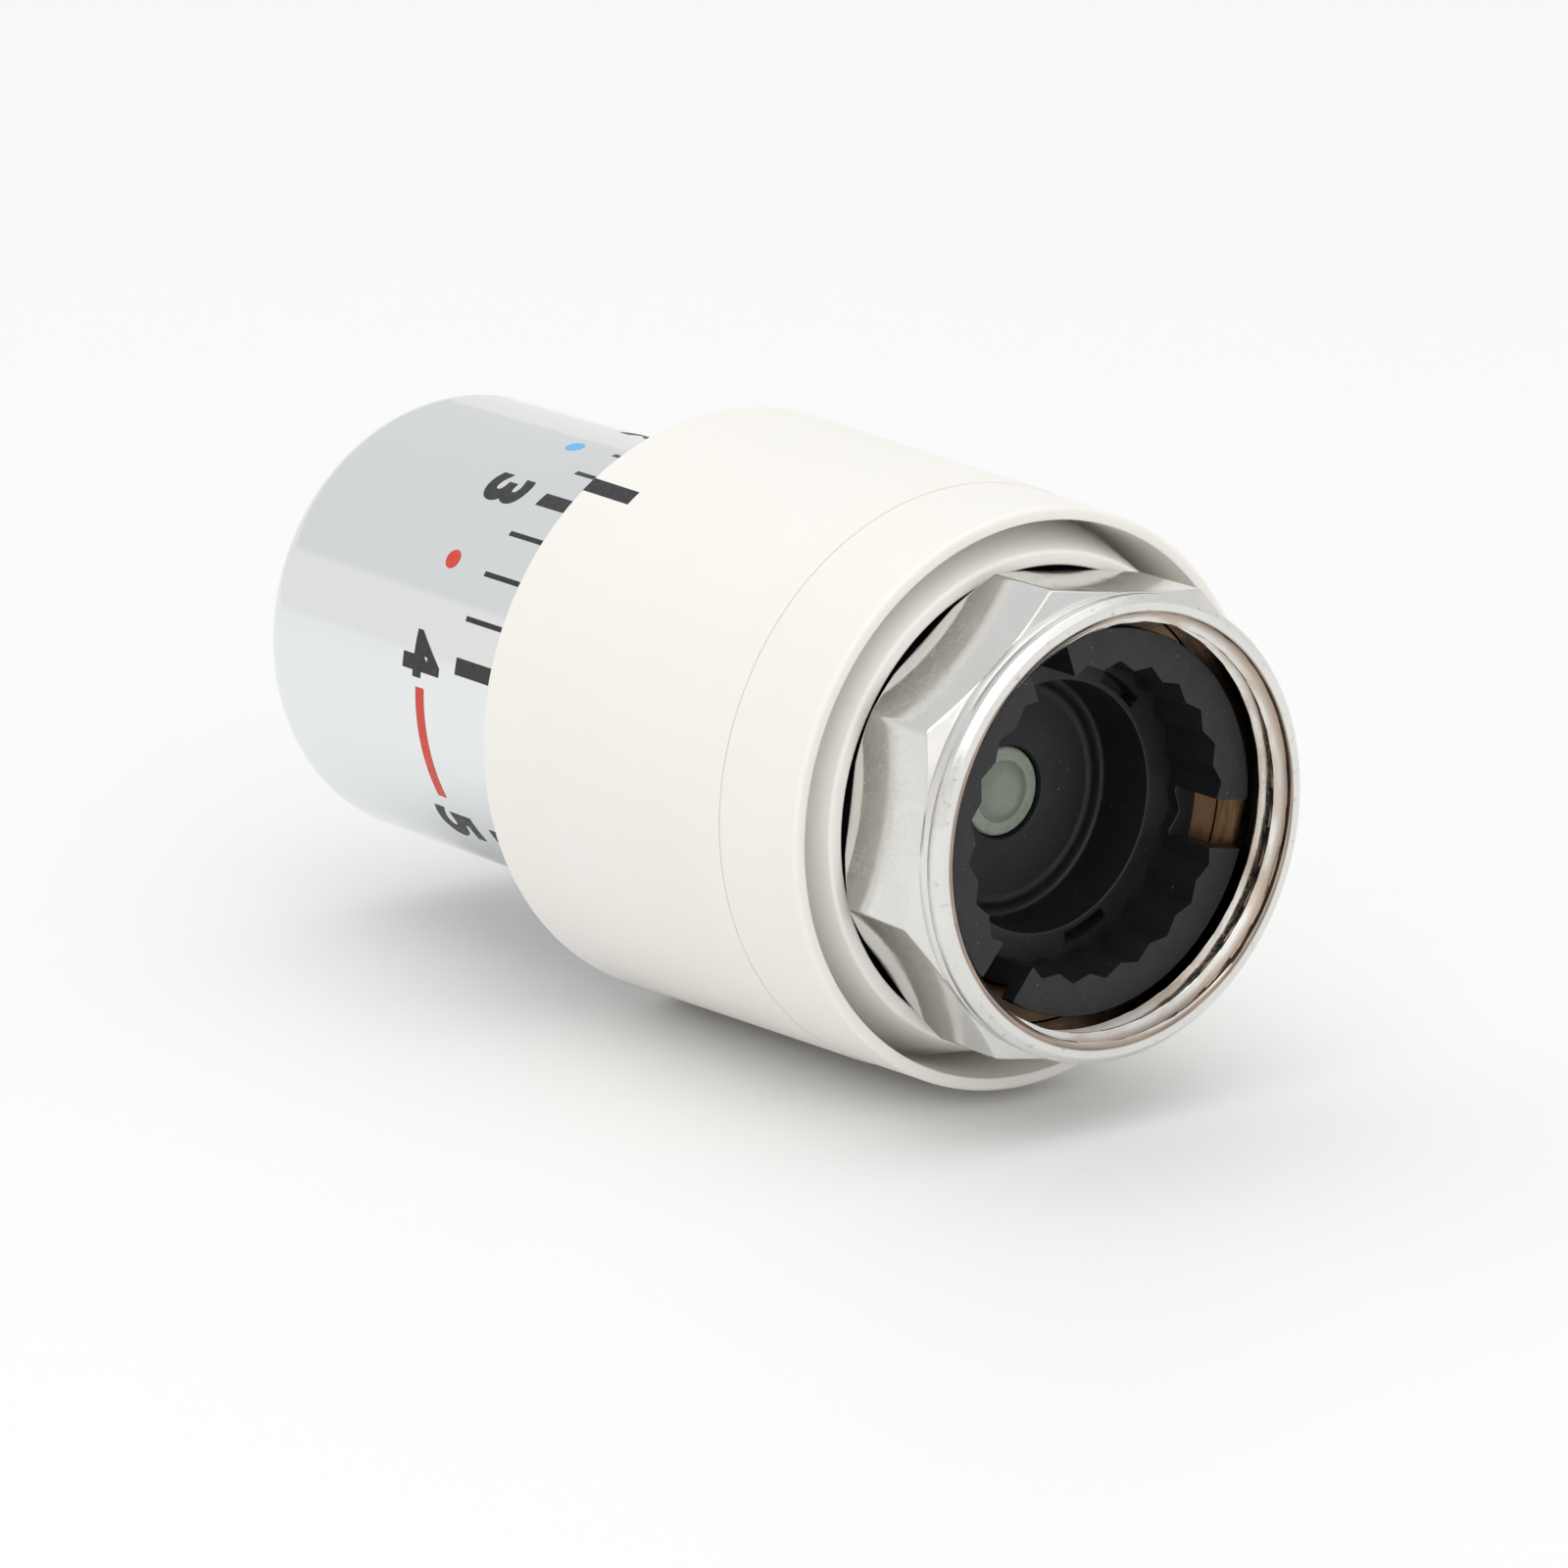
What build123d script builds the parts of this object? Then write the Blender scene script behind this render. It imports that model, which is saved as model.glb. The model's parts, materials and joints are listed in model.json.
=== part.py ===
from build123d import *
import os
from math import cos, pi, radians, sin, tan

# Thermostatic radiator head: a chromed union nut and a serrated plastic socket fasten it to a radiator
# valve, a white sleeve carries the index mark, and a chromed hand wheel with a liquid-filled sensor inside
# is turned to set the room temperature.
#
# Frame, in millimetres: the X axis is the axis of the whole head. +X points out of the union nut's mouth,
# towards the valve, and X = 0 is the nut's front face. A "depth" is a distance behind that face, so depth d
# lies at X = -d. Angles go round the axis from +Z towards +Y, in degrees. The head is drawn at setting 3.

# ---------------------------------------------------------------- driving dimensions
# valve connection, M30 x 1.5
THREAD_MINOR_R = 14.19
THREAD_PITCH = 1.5
THREAD_HEIGHT = 0.81
THREAD_CREST_FLAT = 0.25
THREAD_START = 0.95
THREAD_TURNS = 2

# union nut
NUT_FLATS = 8
NUT_WALL_AT_FLATS = 1.0
NUT_COLLAR_STAND_OUT = 0.1
NUT_COLLAR_LENGTH = 1.9
NUT_RIM_CHAMFER = 0.45
NUT_CHAMFER_LENGTH = 0.8
NUT_REAR_CHAMFER = 1.1
NUT_LENGTH = 9.65
NUT_LIP_THICKNESS = 1.5
NUT_FIRST_CORNER_ANGLE = -14.5

# slip ring between the nut's lip and the socket's shoulder
SLIP_RING_THICKNESS = 0.5

# serrated valve socket
SOCKET_FACE_DEPTH = 2.8
SOCKET_RING_GAP = 0.79
SOCKET_RING_WALL = 2.3
SOCKET_RING_THICKNESS = 1.3
SOCKET_SHOULDER = 1.0
TOOTH_COUNT = 24
TOOTH_HEIGHT = 0.6
TOOTH_LENGTH = 5.1
TOOTH_PHASE = 10.0
SLOT_COUNT = 3
SLOT_WIDTH = 3.4
SLOT_STEP = 0.9
SLOT_ANGLE = 100.0
POCKET_ANGLE = 40.0
POCKET_SWEEP = 20.0
POCKET_WIDTH = 0.9
POCKET_DEPTH = 1.2
CUP_LEDGE = 1.75
CUP_DEPTH = 4.7
CUP_FLOOR_THICKNESS = 1.5
FLOOR_RING_SETBACK = 1.25
FLOOR_RING_WIDTH = 0.4
FLOOR_RING_HEIGHT = 0.12
GUIDE_TUBE_LENGTH = 2.9
GUIDE_TUBE_WALL = 0.8

# push pin and its return spring
PIN_R = 3.15
PIN_REST_STAND_BACK = 0.3
PIN_CHAMFER = 0.25
PIN_CUP_R = 2.0
PIN_CUP_EDGE = 0.2
PIN_CUP_DEPTH = 1.0
PIN_CUP_FLOOR_R = 1.2
PIN_CUP_WALL_DEPTH = 0.6
PIN_FLANGE_R = 5.6
PIN_FLANGE_THICKNESS = 1.2
PIN_FLANGE_SETBACK = 4.6
PIN_TAIL_LENGTH = 3.2
ROD_R = 2.0
ROD_SOCKET_DEPTH = 3.0
RETURN_WIRE = 0.7
RETURN_TURNS = 5

# fixed core and its fittings
CORE_WALL = 1.5
CORE_END_DEPTH = 40.0
CORE_FLANGE_THICKNESS = 1.5
CORE_COLLAR_WALL = 3.0
CORE_COLLAR_LENGTH = 3.9
CORE_HOLE_GAP = 0.95
KEY_WIDTH = 2.4
KEY_HEIGHT = 1.25
CARRIER_GAP = 0.15
CARRIER_THICKNESS = 1.5
CARRIER_HOLES = 8
CARRIER_HOLE_R = 1.9
LIMIT_RING_THICKNESS = 2.0
LIMIT_RING_WALL = 2.6
LIMIT_NOTCHES = 36
LIMIT_NOTCH_WIDTH = 0.7
LIMIT_NOTCH_DEPTH = 0.8
CLIP_END_CLEARANCE = 0.7
CLIP_SWEEP = 8.0

# white sleeve, front collar and inner skirt
SLEEVE_OVER_NUT = 3.93
SLEEVE_END_DEPTH = 44.2
SLEEVE_DRAFT = 1.4
SLEEVE_WALL = 1.3
SLEEVE_REAR_WALL = 1.6
SLEEVE_EDGE_FILLET = 0.5
SLEEVE_OPENING_GAP = 0.5
COLLAR_FACE_DEPTH = 9.85
COLLAR_LENGTH = 8.0
COLLAR_STEP = 0.2
COLLAR_RIM_WALL = 0.81
COLLAR_SPIGOT_LENGTH = 3.0
COLLAR_SPIGOT_WALL = 1.0
SKIRT_LIP_INSET = 1.02
SKIRT_WALL = 1.0
SKIRT_LIP_CHAMFER = 0.45
SKIRT_SEAT_WALL = 1.5
SKIRT_LENGTH = 7.05

# hand wheel
WHEEL_WALL = 1.2
WHEEL_LEAD_IN = 1.2
WHEEL_END = 78.5
WHEEL_END_WALL = 1.5
WHEEL_END_FILLET = 2.4
END_CAP_RIM = 5.0
END_CAP_THICKNESS = 1.2
END_CAP_INSET = 0.3
INSERT_GRIP_LENGTH = 7.0
INSERT_GRIP_BEFORE_CORE_END = 2.8
INSERT_GRIP_WALL = 2.62
INSERT_WALL = 1.4
INSERT_THRUST_SETBACK = 2.95
INSERT_THRUST_THICKNESS = 1.6
INSERT_THRUST_WIDTH = 4.9
FRICTION_RING_FROM_INSERT = 3.8
FRICTION_RING_WIDTH = 1.5
FRICTION_RING_HEIGHT = 1.3
SNAP_RING_THICKNESS = 0.8
SNAP_RING_WIDTH = 1.3
SNAP_RING_GAP = 36.0
DOG_SWEEP = 10.0
DOG_FRONT_CLEARANCE = 3.0
DOG_THICKNESS = 2.0

# liquid-filled sensor
SENSOR_R = 10.4
SENSOR_INSIDE_CORE = 7.0
SENSOR_LENGTH = 33.0
SENSOR_WALL = 0.6
SENSOR_CAP_THICKNESS = 1.0
FILL_STUB_R = 1.2
FILL_STUB_LENGTH = 3.0
BELLOWS_R = 6.0
BELLOWS_INNER_R = 4.4
BELLOWS_FOLDS = 8
BELLOWS_SKIN = 0.3
BELLOWS_LENGTH = 13.5
BELLOWS_DISC_THICKNESS = 1.0
GUIDE_LENGTH = 4.5
GUIDE_WALL = 0.6
GUIDE_LIP_THICKNESS = 1.5
GUIDE_LIP_WIDTH = 2.4
OVERLOAD_CUP_SETBACK = 7.4
OVERLOAD_CUP_THICKNESS = 1.4
OVERLOAD_WIRE = 1.3
OVERLOAD_TURNS = 5
THRUST_PLATE_THICKNESS = 1.0

# scale and travel: one number is 48 degrees of turn and 0.88 mm of travel along the axis
DEGREES_PER_NUMBER = 48.0
TRAVEL_PER_NUMBER = 0.88
REST_SETTING = 3.06
TOP_SETTING = 5.0
DOG_ANGLE = 180.0
STOP_MARGIN = 1.0

# clearances
RUNNING_CLEARANCE = 0.08
FRICTION_RING_CLEARANCE = 0.06
PASSING_CLEARANCE = 0.2
KEY_CLEARANCE = 0.1
FACE_GAP = 0.1

# ---------------------------------------------------------------- sizes that follow from them
CUT_MARGIN = 1.0
THREAD_ROOT_R = THREAD_MINOR_R + THREAD_HEIGHT
NUT_FLAT_R = THREAD_ROOT_R + NUT_WALL_AT_FLATS
NUT_CORNER_R = NUT_FLAT_R / cos(pi / NUT_FLATS)
NUT_COLLAR_R = NUT_FLAT_R + NUT_COLLAR_STAND_OUT
SOCKET_RING_R = THREAD_MINOR_R - SOCKET_RING_GAP
SOCKET_BARREL_R = SOCKET_RING_R - SOCKET_SHOULDER
TOOTH_ROOT_R = SOCKET_RING_R - SOCKET_RING_WALL
TOOTH_TIP_R = TOOTH_ROOT_R - TOOTH_HEIGHT
CUP_R = TOOTH_TIP_R - CUP_LEDGE
FLOOR_RING_R = CUP_R - FLOOR_RING_SETBACK
NUT_LIP_R = SOCKET_BARREL_R + PASSING_CLEARANCE
NUT_LIP_START = NUT_LENGTH - NUT_LIP_THICKNESS
SLIP_RING_START = NUT_LIP_START - RUNNING_CLEARANCE / 2 - SLIP_RING_THICKNESS
SOCKET_RING_END = SOCKET_FACE_DEPTH + SOCKET_RING_THICKNESS
SOCKET_LEDGE = SOCKET_FACE_DEPTH + TOOTH_LENGTH
CUP_FLOOR = SOCKET_LEDGE + CUP_DEPTH
SOCKET_END = CUP_FLOOR + CUP_FLOOR_THICKNESS
GUIDE_R = PIN_R + RUNNING_CLEARANCE
GUIDE_TUBE_R = GUIDE_R + GUIDE_TUBE_WALL
GUIDE_TUBE_END = SOCKET_END + GUIDE_TUBE_LENGTH
PIN_FACE = CUP_FLOOR + PIN_REST_STAND_BACK
PIN_FLANGE = GUIDE_TUBE_END + PIN_FLANGE_SETBACK
PIN_END = PIN_FLANGE + PIN_FLANGE_THICKNESS + PIN_TAIL_LENGTH
RETURN_MEAN_R = GUIDE_TUBE_R + RUNNING_CLEARANCE + RETURN_WIRE / 2
CORE_HOLE_R = RETURN_MEAN_R + RETURN_WIRE / 2 + CORE_HOLE_GAP
CORE_BORE_R = SENSOR_R + GUIDE_WALL + KEY_CLEARANCE
CORE_R = CORE_BORE_R + CORE_WALL
CORE_COLLAR_R = SOCKET_BARREL_R + CORE_COLLAR_WALL
CORE_FLANGE_DEPTH = SOCKET_END
CORE_TUBE_START = CORE_FLANGE_DEPTH + CORE_FLANGE_THICKNESS
CORE_COLLAR_DEPTH = CORE_FLANGE_DEPTH - CORE_COLLAR_LENGTH
LIMIT_RING_R = CORE_R + LIMIT_RING_WALL
CLIP_R = LIMIT_RING_R - PASSING_CLEARANCE
COLLAR_END = COLLAR_FACE_DEPTH + COLLAR_LENGTH
COLLAR_SPIGOT_END = COLLAR_END + COLLAR_SPIGOT_LENGTH
CARRIER_DEPTH = COLLAR_SPIGOT_END + CARRIER_GAP
CARRIER_END = CARRIER_DEPTH + CARRIER_THICKNESS
LIMIT_RING_END = CARRIER_END + LIMIT_RING_THICKNESS
INSERT_GRIP_R = CORE_R + RUNNING_CLEARANCE
WHEEL_BORE_R = INSERT_GRIP_R + INSERT_GRIP_WALL
WHEEL_R = WHEEL_BORE_R + WHEEL_WALL
SLEEVE_REAR_R = NUT_CORNER_R + SLEEVE_OVER_NUT
SLEEVE_OPENING_R = WHEEL_R + SLEEVE_OPENING_GAP
INSERT_BORE_R = WHEEL_BORE_R - INSERT_WALL
INSERT_START = CORE_END_DEPTH - INSERT_GRIP_BEFORE_CORE_END
WHEEL_START = INSERT_START - WHEEL_LEAD_IN
FRICTION_RING_DEPTH = INSERT_START + FRICTION_RING_FROM_INSERT
INSERT_GRIP_END = INSERT_START + INSERT_GRIP_LENGTH
INSERT_END = WHEEL_END - WHEEL_END_WALL
INSERT_THRUST_DEPTH = INSERT_END - INSERT_THRUST_SETBACK
INSERT_THRUST_R = INSERT_BORE_R - INSERT_THRUST_WIDTH
END_CAP_R = WHEEL_R - END_CAP_RIM
TRAVEL_TO_ZERO = REST_SETTING * TRAVEL_PER_NUMBER
CLIP_END = INSERT_START - SNAP_RING_THICKNESS - TRAVEL_TO_ZERO - CLIP_END_CLEARANCE
DOG_START = LIMIT_RING_END + TRAVEL_TO_ZERO + DOG_FRONT_CLEARANCE
SENSOR_START = CORE_END_DEPTH - SENSOR_INSIDE_CORE
SENSOR_END = SENSOR_START + SENSOR_LENGTH
ROD_HOLE_R = ROD_R + PASSING_CLEARANCE
GUIDE_OUTER_R = CORE_BORE_R - KEY_CLEARANCE
GUIDE_LIP_R = SENSOR_R - GUIDE_LIP_WIDTH
GUIDE_START = SENSOR_START - GUIDE_LIP_THICKNESS
KEY_SLOT_START = GUIDE_START - TRAVEL_TO_ZERO - CUT_MARGIN
BELLOWS_START = SENSOR_START + SENSOR_WALL
BELLOWS_END = BELLOWS_START + BELLOWS_LENGTH
OVERLOAD_CUP_DEPTH = SENSOR_END - OVERLOAD_CUP_SETBACK
OVERLOAD_CUP_R = INSERT_BORE_R - FACE_GAP - PASSING_CLEARANCE
OVERLOAD_SPRING_START = OVERLOAD_CUP_DEPTH + OVERLOAD_CUP_THICKNESS
THRUST_PLATE_START = INSERT_THRUST_DEPTH - RUNNING_CLEARANCE - THRUST_PLATE_THICKNESS
OVERLOAD_MEAN_R = (SENSOR_R + OVERLOAD_CUP_R) / 2
DOG_R = WHEEL_BORE_R - FACE_GAP


def sleeve_radius(depth):
    """Outer radius of the tapered white sleeve at a depth."""
    return SLEEVE_REAR_R - (SLEEVE_END_DEPTH - depth) * tan(radians(SLEEVE_DRAFT))


SLEEVE_FRONT_BORE_R = sleeve_radius(COLLAR_END) - SLEEVE_WALL
COLLAR_RIM_R = sleeve_radius(COLLAR_FACE_DEPTH) - COLLAR_STEP
COLLAR_RIM_INNER_R = COLLAR_RIM_R - COLLAR_RIM_WALL
SKIRT_LIP_R = NUT_CORNER_R - SKIRT_LIP_INSET
SKIRT_BASE_DEPTH = COLLAR_FACE_DEPTH + SKIRT_LENGTH
CORE_FLANGE_R = COLLAR_RIM_INNER_R - SKIRT_SEAT_WALL


# ---------------------------------------------------------------- shape helpers
def turned(points):
    """Solid of revolution about the X axis from an outline of (depth, radius) points."""
    outline = Polyline(*[(-depth, 0, radius) for depth, radius in points], close=True)
    return revolve(make_face(outline.edges()), axis=Axis.X, revolution_arc=360)


def tube(start, end, inner, outer):
    """Plain ring between two depths; an inner radius of 0 gives a disc."""
    return turned([(start, inner), (end, inner), (end, outer), (start, outer)])


def around(shape, angle):
    """Turn a shape about the axis by an angle measured from +Z towards +Y."""
    return shape.rotate(Axis.X, -angle)


def block(start, end, inner, outer, width, angle=0.0):
    """Radial block between two depths and two radii, centred on an angle."""
    size = (end - start, width, outer - inner)
    place = Pos(-(start + end) / 2, 0, (inner + outer) / 2)
    return around(place * Box(*size), angle)


def sector(start, end, inner, outer, angle, sweep):
    """Part of a ring that covers a sweep of angle, centred on an angle."""
    ends = [radians(angle - sweep / 2), radians(angle), radians(angle + sweep / 2)]
    on = [[(0, r * sin(a), r * cos(a)) for a in ends] for r in (inner, outer)]
    outline = [
        ThreePointArc(*on[0]),
        Line(on[0][2], on[1][2]),
        ThreePointArc(*on[1]),
        Line(on[1][0], on[0][0]),
    ]
    return Pos(-start, 0, 0) * extrude(make_face(outline), amount=end - start, dir=(-1, 0, 0))


def coil(start, end, mean_radius, wire, turns):
    """Round-wire compression spring between two depths."""
    height = end - start - wire
    path = Helix(pitch=height / turns, height=height, radius=mean_radius)
    section = Plane(origin=path @ 0, z_dir=path % 0) * Circle(wire / 2)
    spring = sweep(section, path=path, is_frenet=True)
    return Pos(-start - wire / 2, 0, 0) * spring.rotate(Axis.Y, -90)


def round_edges(shape, radius, depth, outside):
    """Fillet the circular edges of one radius that lie at one depth."""
    tolerance = 0.02
    picked = [
        edge for edge in shape.edges().filter_by(GeomType.CIRCLE)
        if abs(edge.arc_center.X + depth) < tolerance and abs(edge.radius - outside) < tolerance
    ]
    return fillet(picked, radius)


# ---------------------------------------------------------------- union nut
def make_union_nut():
    thread_end = THREAD_START + THREAD_TURNS * THREAD_PITCH
    outline = [
        (NUT_LENGTH, NUT_LIP_R),
        (NUT_LENGTH, NUT_CORNER_R - NUT_REAR_CHAMFER),
        (NUT_LENGTH - NUT_REAR_CHAMFER, NUT_CORNER_R),
        (NUT_COLLAR_LENGTH + NUT_CHAMFER_LENGTH, NUT_CORNER_R),
        (NUT_COLLAR_LENGTH, NUT_COLLAR_R),
        (NUT_RIM_CHAMFER, NUT_COLLAR_R),
        (0, NUT_COLLAR_R - NUT_RIM_CHAMFER),
        (0, THREAD_ROOT_R),
    ]
    half_flat = THREAD_CREST_FLAT / 2
    for turn in range(THREAD_TURNS):
        crest = THREAD_START + turn * THREAD_PITCH
        outline.append((crest - half_flat, THREAD_MINOR_R))
        outline.append((crest + half_flat, THREAD_MINOR_R))
        if turn < THREAD_TURNS - 1:
            outline.append((crest + THREAD_PITCH / 2, THREAD_ROOT_R))
    undercut_start = thread_end - THREAD_PITCH / 2
    outline += [
        (undercut_start, THREAD_ROOT_R),
        (NUT_LIP_START, THREAD_ROOT_R),
        (NUT_LIP_START, NUT_LIP_R),
    ]
    nut = turned(outline)
    past_rear = NUT_LENGTH + CUT_MARGIN
    prism = Plane.YZ * RegularPolygon(NUT_CORNER_R, NUT_FLATS, rotation=0)
    prism = around(extrude(prism, amount=-past_rear), NUT_FIRST_CORNER_ANGLE - 90)
    milled_off = tube(NUT_COLLAR_LENGTH, past_rear, 0, NUT_CORNER_R + CUT_MARGIN) - prism
    return nut - milled_off


def make_slip_ring():
    end = SLIP_RING_START + SLIP_RING_THICKNESS
    return tube(SLIP_RING_START, end, NUT_LIP_R, THREAD_ROOT_R - RUNNING_CLEARANCE)


# ---------------------------------------------------------------- socket and pin
def serration_profile():
    points = []
    half_step = 180.0 / TOOTH_COUNT
    for tooth in range(TOOTH_COUNT):
        root = radians(TOOTH_PHASE + 2 * half_step * tooth)
        tip = root + radians(half_step)
        points.append((0, TOOTH_ROOT_R * sin(root), TOOTH_ROOT_R * cos(root)))
        points.append((0, TOOTH_TIP_R * sin(tip), TOOTH_TIP_R * cos(tip)))
    return make_face(Polyline(*points, close=True).edges())


def make_valve_socket():
    socket = turned([
        (SOCKET_FACE_DEPTH, 0),
        (SOCKET_FACE_DEPTH, SOCKET_RING_R),
        (SOCKET_RING_END, SOCKET_RING_R),
        (SOCKET_RING_END, SOCKET_BARREL_R),
        (SOCKET_END, SOCKET_BARREL_R),
        (SOCKET_END, GUIDE_TUBE_R),
        (GUIDE_TUBE_END, GUIDE_TUBE_R),
        (GUIDE_TUBE_END, 0),
    ])
    teeth = extrude(serration_profile(), amount=TOOTH_LENGTH, dir=(-1, 0, 0))
    socket -= Pos(-SOCKET_FACE_DEPTH, 0, 0) * teeth
    socket -= tube(SOCKET_LEDGE, CUP_FLOOR, 0, CUP_R)
    socket -= tube(CUP_FLOOR, GUIDE_TUBE_END, 0, GUIDE_R)
    ring_inner_r = FLOOR_RING_R - FLOOR_RING_WIDTH
    socket += tube(CUP_FLOOR - FLOOR_RING_HEIGHT, CUP_FLOOR, ring_inner_r, FLOOR_RING_R)
    pocket_mid_r = (CUP_R + TOOTH_TIP_R) / 2
    for index in range(SLOT_COUNT):
        turn = 360.0 / SLOT_COUNT * index
        slot_end = SOCKET_LEDGE - SLOT_STEP
        reach = SOCKET_RING_R + CUT_MARGIN
        start = SOCKET_FACE_DEPTH - CUT_MARGIN
        socket -= block(start, slot_end, CUP_R, reach, SLOT_WIDTH, SLOT_ANGLE + turn)
        socket -= sector(
            SOCKET_LEDGE, SOCKET_LEDGE + POCKET_DEPTH,
            pocket_mid_r - POCKET_WIDTH / 2, pocket_mid_r + POCKET_WIDTH / 2,
            POCKET_ANGLE + turn, POCKET_SWEEP,
        )
    return socket


def make_push_pin():
    return turned([
        (PIN_FACE + PIN_CUP_DEPTH, 0),
        (PIN_FACE + PIN_CUP_DEPTH, PIN_CUP_FLOOR_R),
        (PIN_FACE + PIN_CUP_WALL_DEPTH, PIN_CUP_R),
        (PIN_FACE, PIN_CUP_R + PIN_CUP_EDGE),
        (PIN_FACE, PIN_R - PIN_CHAMFER),
        (PIN_FACE + PIN_CHAMFER, PIN_R),
        (PIN_FLANGE, PIN_R),
        (PIN_FLANGE, PIN_FLANGE_R),
        (PIN_FLANGE + PIN_FLANGE_THICKNESS, PIN_FLANGE_R),
        (PIN_FLANGE + PIN_FLANGE_THICKNESS, PIN_R),
        (PIN_END, PIN_R),
        (PIN_END, ROD_R),
        (PIN_END - ROD_SOCKET_DEPTH, ROD_R),
        (PIN_END - ROD_SOCKET_DEPTH, 0),
    ])


def make_push_rod():
    return tube(PIN_END - ROD_SOCKET_DEPTH, BELLOWS_END, 0, ROD_R)


def make_return_spring():
    return coil(SOCKET_END, PIN_FLANGE, RETURN_MEAN_R, RETURN_WIRE, RETURN_TURNS)


# ---------------------------------------------------------------- fixed core, stops and white covers
def make_base_core():
    core = turned([
        (CORE_COLLAR_DEPTH, SOCKET_BARREL_R),
        (CORE_COLLAR_DEPTH, CORE_COLLAR_R),
        (CORE_FLANGE_DEPTH, CORE_COLLAR_R),
        (CORE_FLANGE_DEPTH, CORE_FLANGE_R),
        (CORE_TUBE_START, CORE_FLANGE_R),
        (CORE_TUBE_START, CORE_R),
        (CORE_END_DEPTH, CORE_R),
        (CORE_END_DEPTH, CORE_BORE_R),
        (CORE_TUBE_START, CORE_BORE_R),
        (CORE_TUBE_START, CORE_HOLE_R),
        (CORE_FLANGE_DEPTH, CORE_HOLE_R),
        (CORE_FLANGE_DEPTH, SOCKET_BARREL_R),
    ])
    for angle in (0, 180):
        core -= block(
            KEY_SLOT_START, CORE_END_DEPTH + CUT_MARGIN, CORE_BORE_R - CUT_MARGIN, CORE_R + CUT_MARGIN,
            KEY_WIDTH + 2 * KEY_CLEARANCE, angle,
        )
    return core


def make_sleeve_carrier():
    carrier = tube(CARRIER_DEPTH, CARRIER_END, CORE_R, SLEEVE_FRONT_BORE_R)
    hole_circle = (LIMIT_RING_R + SLEEVE_FRONT_BORE_R) / 2
    hole = Plane.YZ * Pos(0, hole_circle) * Circle(CARRIER_HOLE_R)
    hole = Pos(-CARRIER_DEPTH, 0, 0) * extrude(hole, amount=-CARRIER_THICKNESS)
    for index in range(CARRIER_HOLES):
        carrier -= around(hole, 360.0 / CARRIER_HOLES * index)
    return carrier


def make_limit_ring():
    ring = tube(CARRIER_END, LIMIT_RING_END, CORE_R, LIMIT_RING_R)
    notch = block(
        CARRIER_END, LIMIT_RING_END + CUT_MARGIN, LIMIT_RING_R - LIMIT_NOTCH_DEPTH,
        LIMIT_RING_R + CUT_MARGIN, LIMIT_NOTCH_WIDTH,
    )
    for index in range(LIMIT_NOTCHES):
        ring -= around(notch, 360.0 / LIMIT_NOTCHES * index)
    return ring


def make_limit_clip(turn_to_stop):
    """Stop that the hand wheel's dog meets when the wheel has turned by an angle from rest."""
    beyond = (DOG_SWEEP + CLIP_SWEEP) / 2 + STOP_MARGIN
    angle = DOG_ANGLE + turn_to_stop + (beyond if turn_to_stop > 0 else -beyond)
    inner = CORE_R + FACE_GAP
    return sector(LIMIT_RING_END, CLIP_END, inner, CLIP_R, angle, CLIP_SWEEP)


def make_outer_sleeve():
    end = SLEEVE_END_DEPTH
    inner_rear = sleeve_radius(end) - SLEEVE_WALL
    sleeve = turned([
        (COLLAR_END, SLEEVE_FRONT_BORE_R),
        (COLLAR_END, sleeve_radius(COLLAR_END)),
        (end, SLEEVE_REAR_R),
        (end, SLEEVE_OPENING_R),
        (end - SLEEVE_REAR_WALL, SLEEVE_OPENING_R),
        (end - SLEEVE_REAR_WALL, inner_rear),
        (CARRIER_END, SLEEVE_FRONT_BORE_R),
    ])
    return round_edges(sleeve, SLEEVE_EDGE_FILLET, end, SLEEVE_REAR_R)


def make_front_collar():
    face = COLLAR_FACE_DEPTH
    spigot_r = SLEEVE_FRONT_BORE_R
    collar = turned([
        (face, COLLAR_RIM_INNER_R),
        (face, COLLAR_RIM_R),
        (COLLAR_END, sleeve_radius(COLLAR_END) - COLLAR_STEP),
        (COLLAR_END, spigot_r),
        (COLLAR_SPIGOT_END, spigot_r),
        (COLLAR_SPIGOT_END, spigot_r - COLLAR_SPIGOT_WALL),
        (SKIRT_BASE_DEPTH, spigot_r - COLLAR_SPIGOT_WALL),
        (SKIRT_BASE_DEPTH, COLLAR_RIM_INNER_R),
    ])
    return round_edges(collar, SLEEVE_EDGE_FILLET, face, COLLAR_RIM_R)


def make_inner_skirt():
    lip = COLLAR_FACE_DEPTH
    lip_end = SKIRT_LIP_R + SKIRT_WALL
    return turned([
        (lip, SKIRT_LIP_R),
        (lip, lip_end - SKIRT_LIP_CHAMFER),
        (lip + SKIRT_LIP_CHAMFER, lip_end),
        (SKIRT_BASE_DEPTH, COLLAR_RIM_INNER_R),
        (SKIRT_BASE_DEPTH, CORE_FLANGE_R),
        (CORE_FLANGE_DEPTH, CORE_FLANGE_R),
        (lip + SKIRT_WALL, SKIRT_LIP_R),
    ])


# ---------------------------------------------------------------- hand wheel
def make_hand_wheel():
    wheel = tube(WHEEL_START, WHEEL_END, WHEEL_BORE_R, WHEEL_R)
    wheel += tube(WHEEL_END - WHEEL_END_WALL, WHEEL_END, END_CAP_R, WHEEL_BORE_R)
    return round_edges(wheel, WHEEL_END_FILLET, WHEEL_END, WHEEL_R)


def make_end_cap():
    end = WHEEL_END - END_CAP_INSET
    return tube(end - END_CAP_THICKNESS, end, 0, END_CAP_R)


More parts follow.
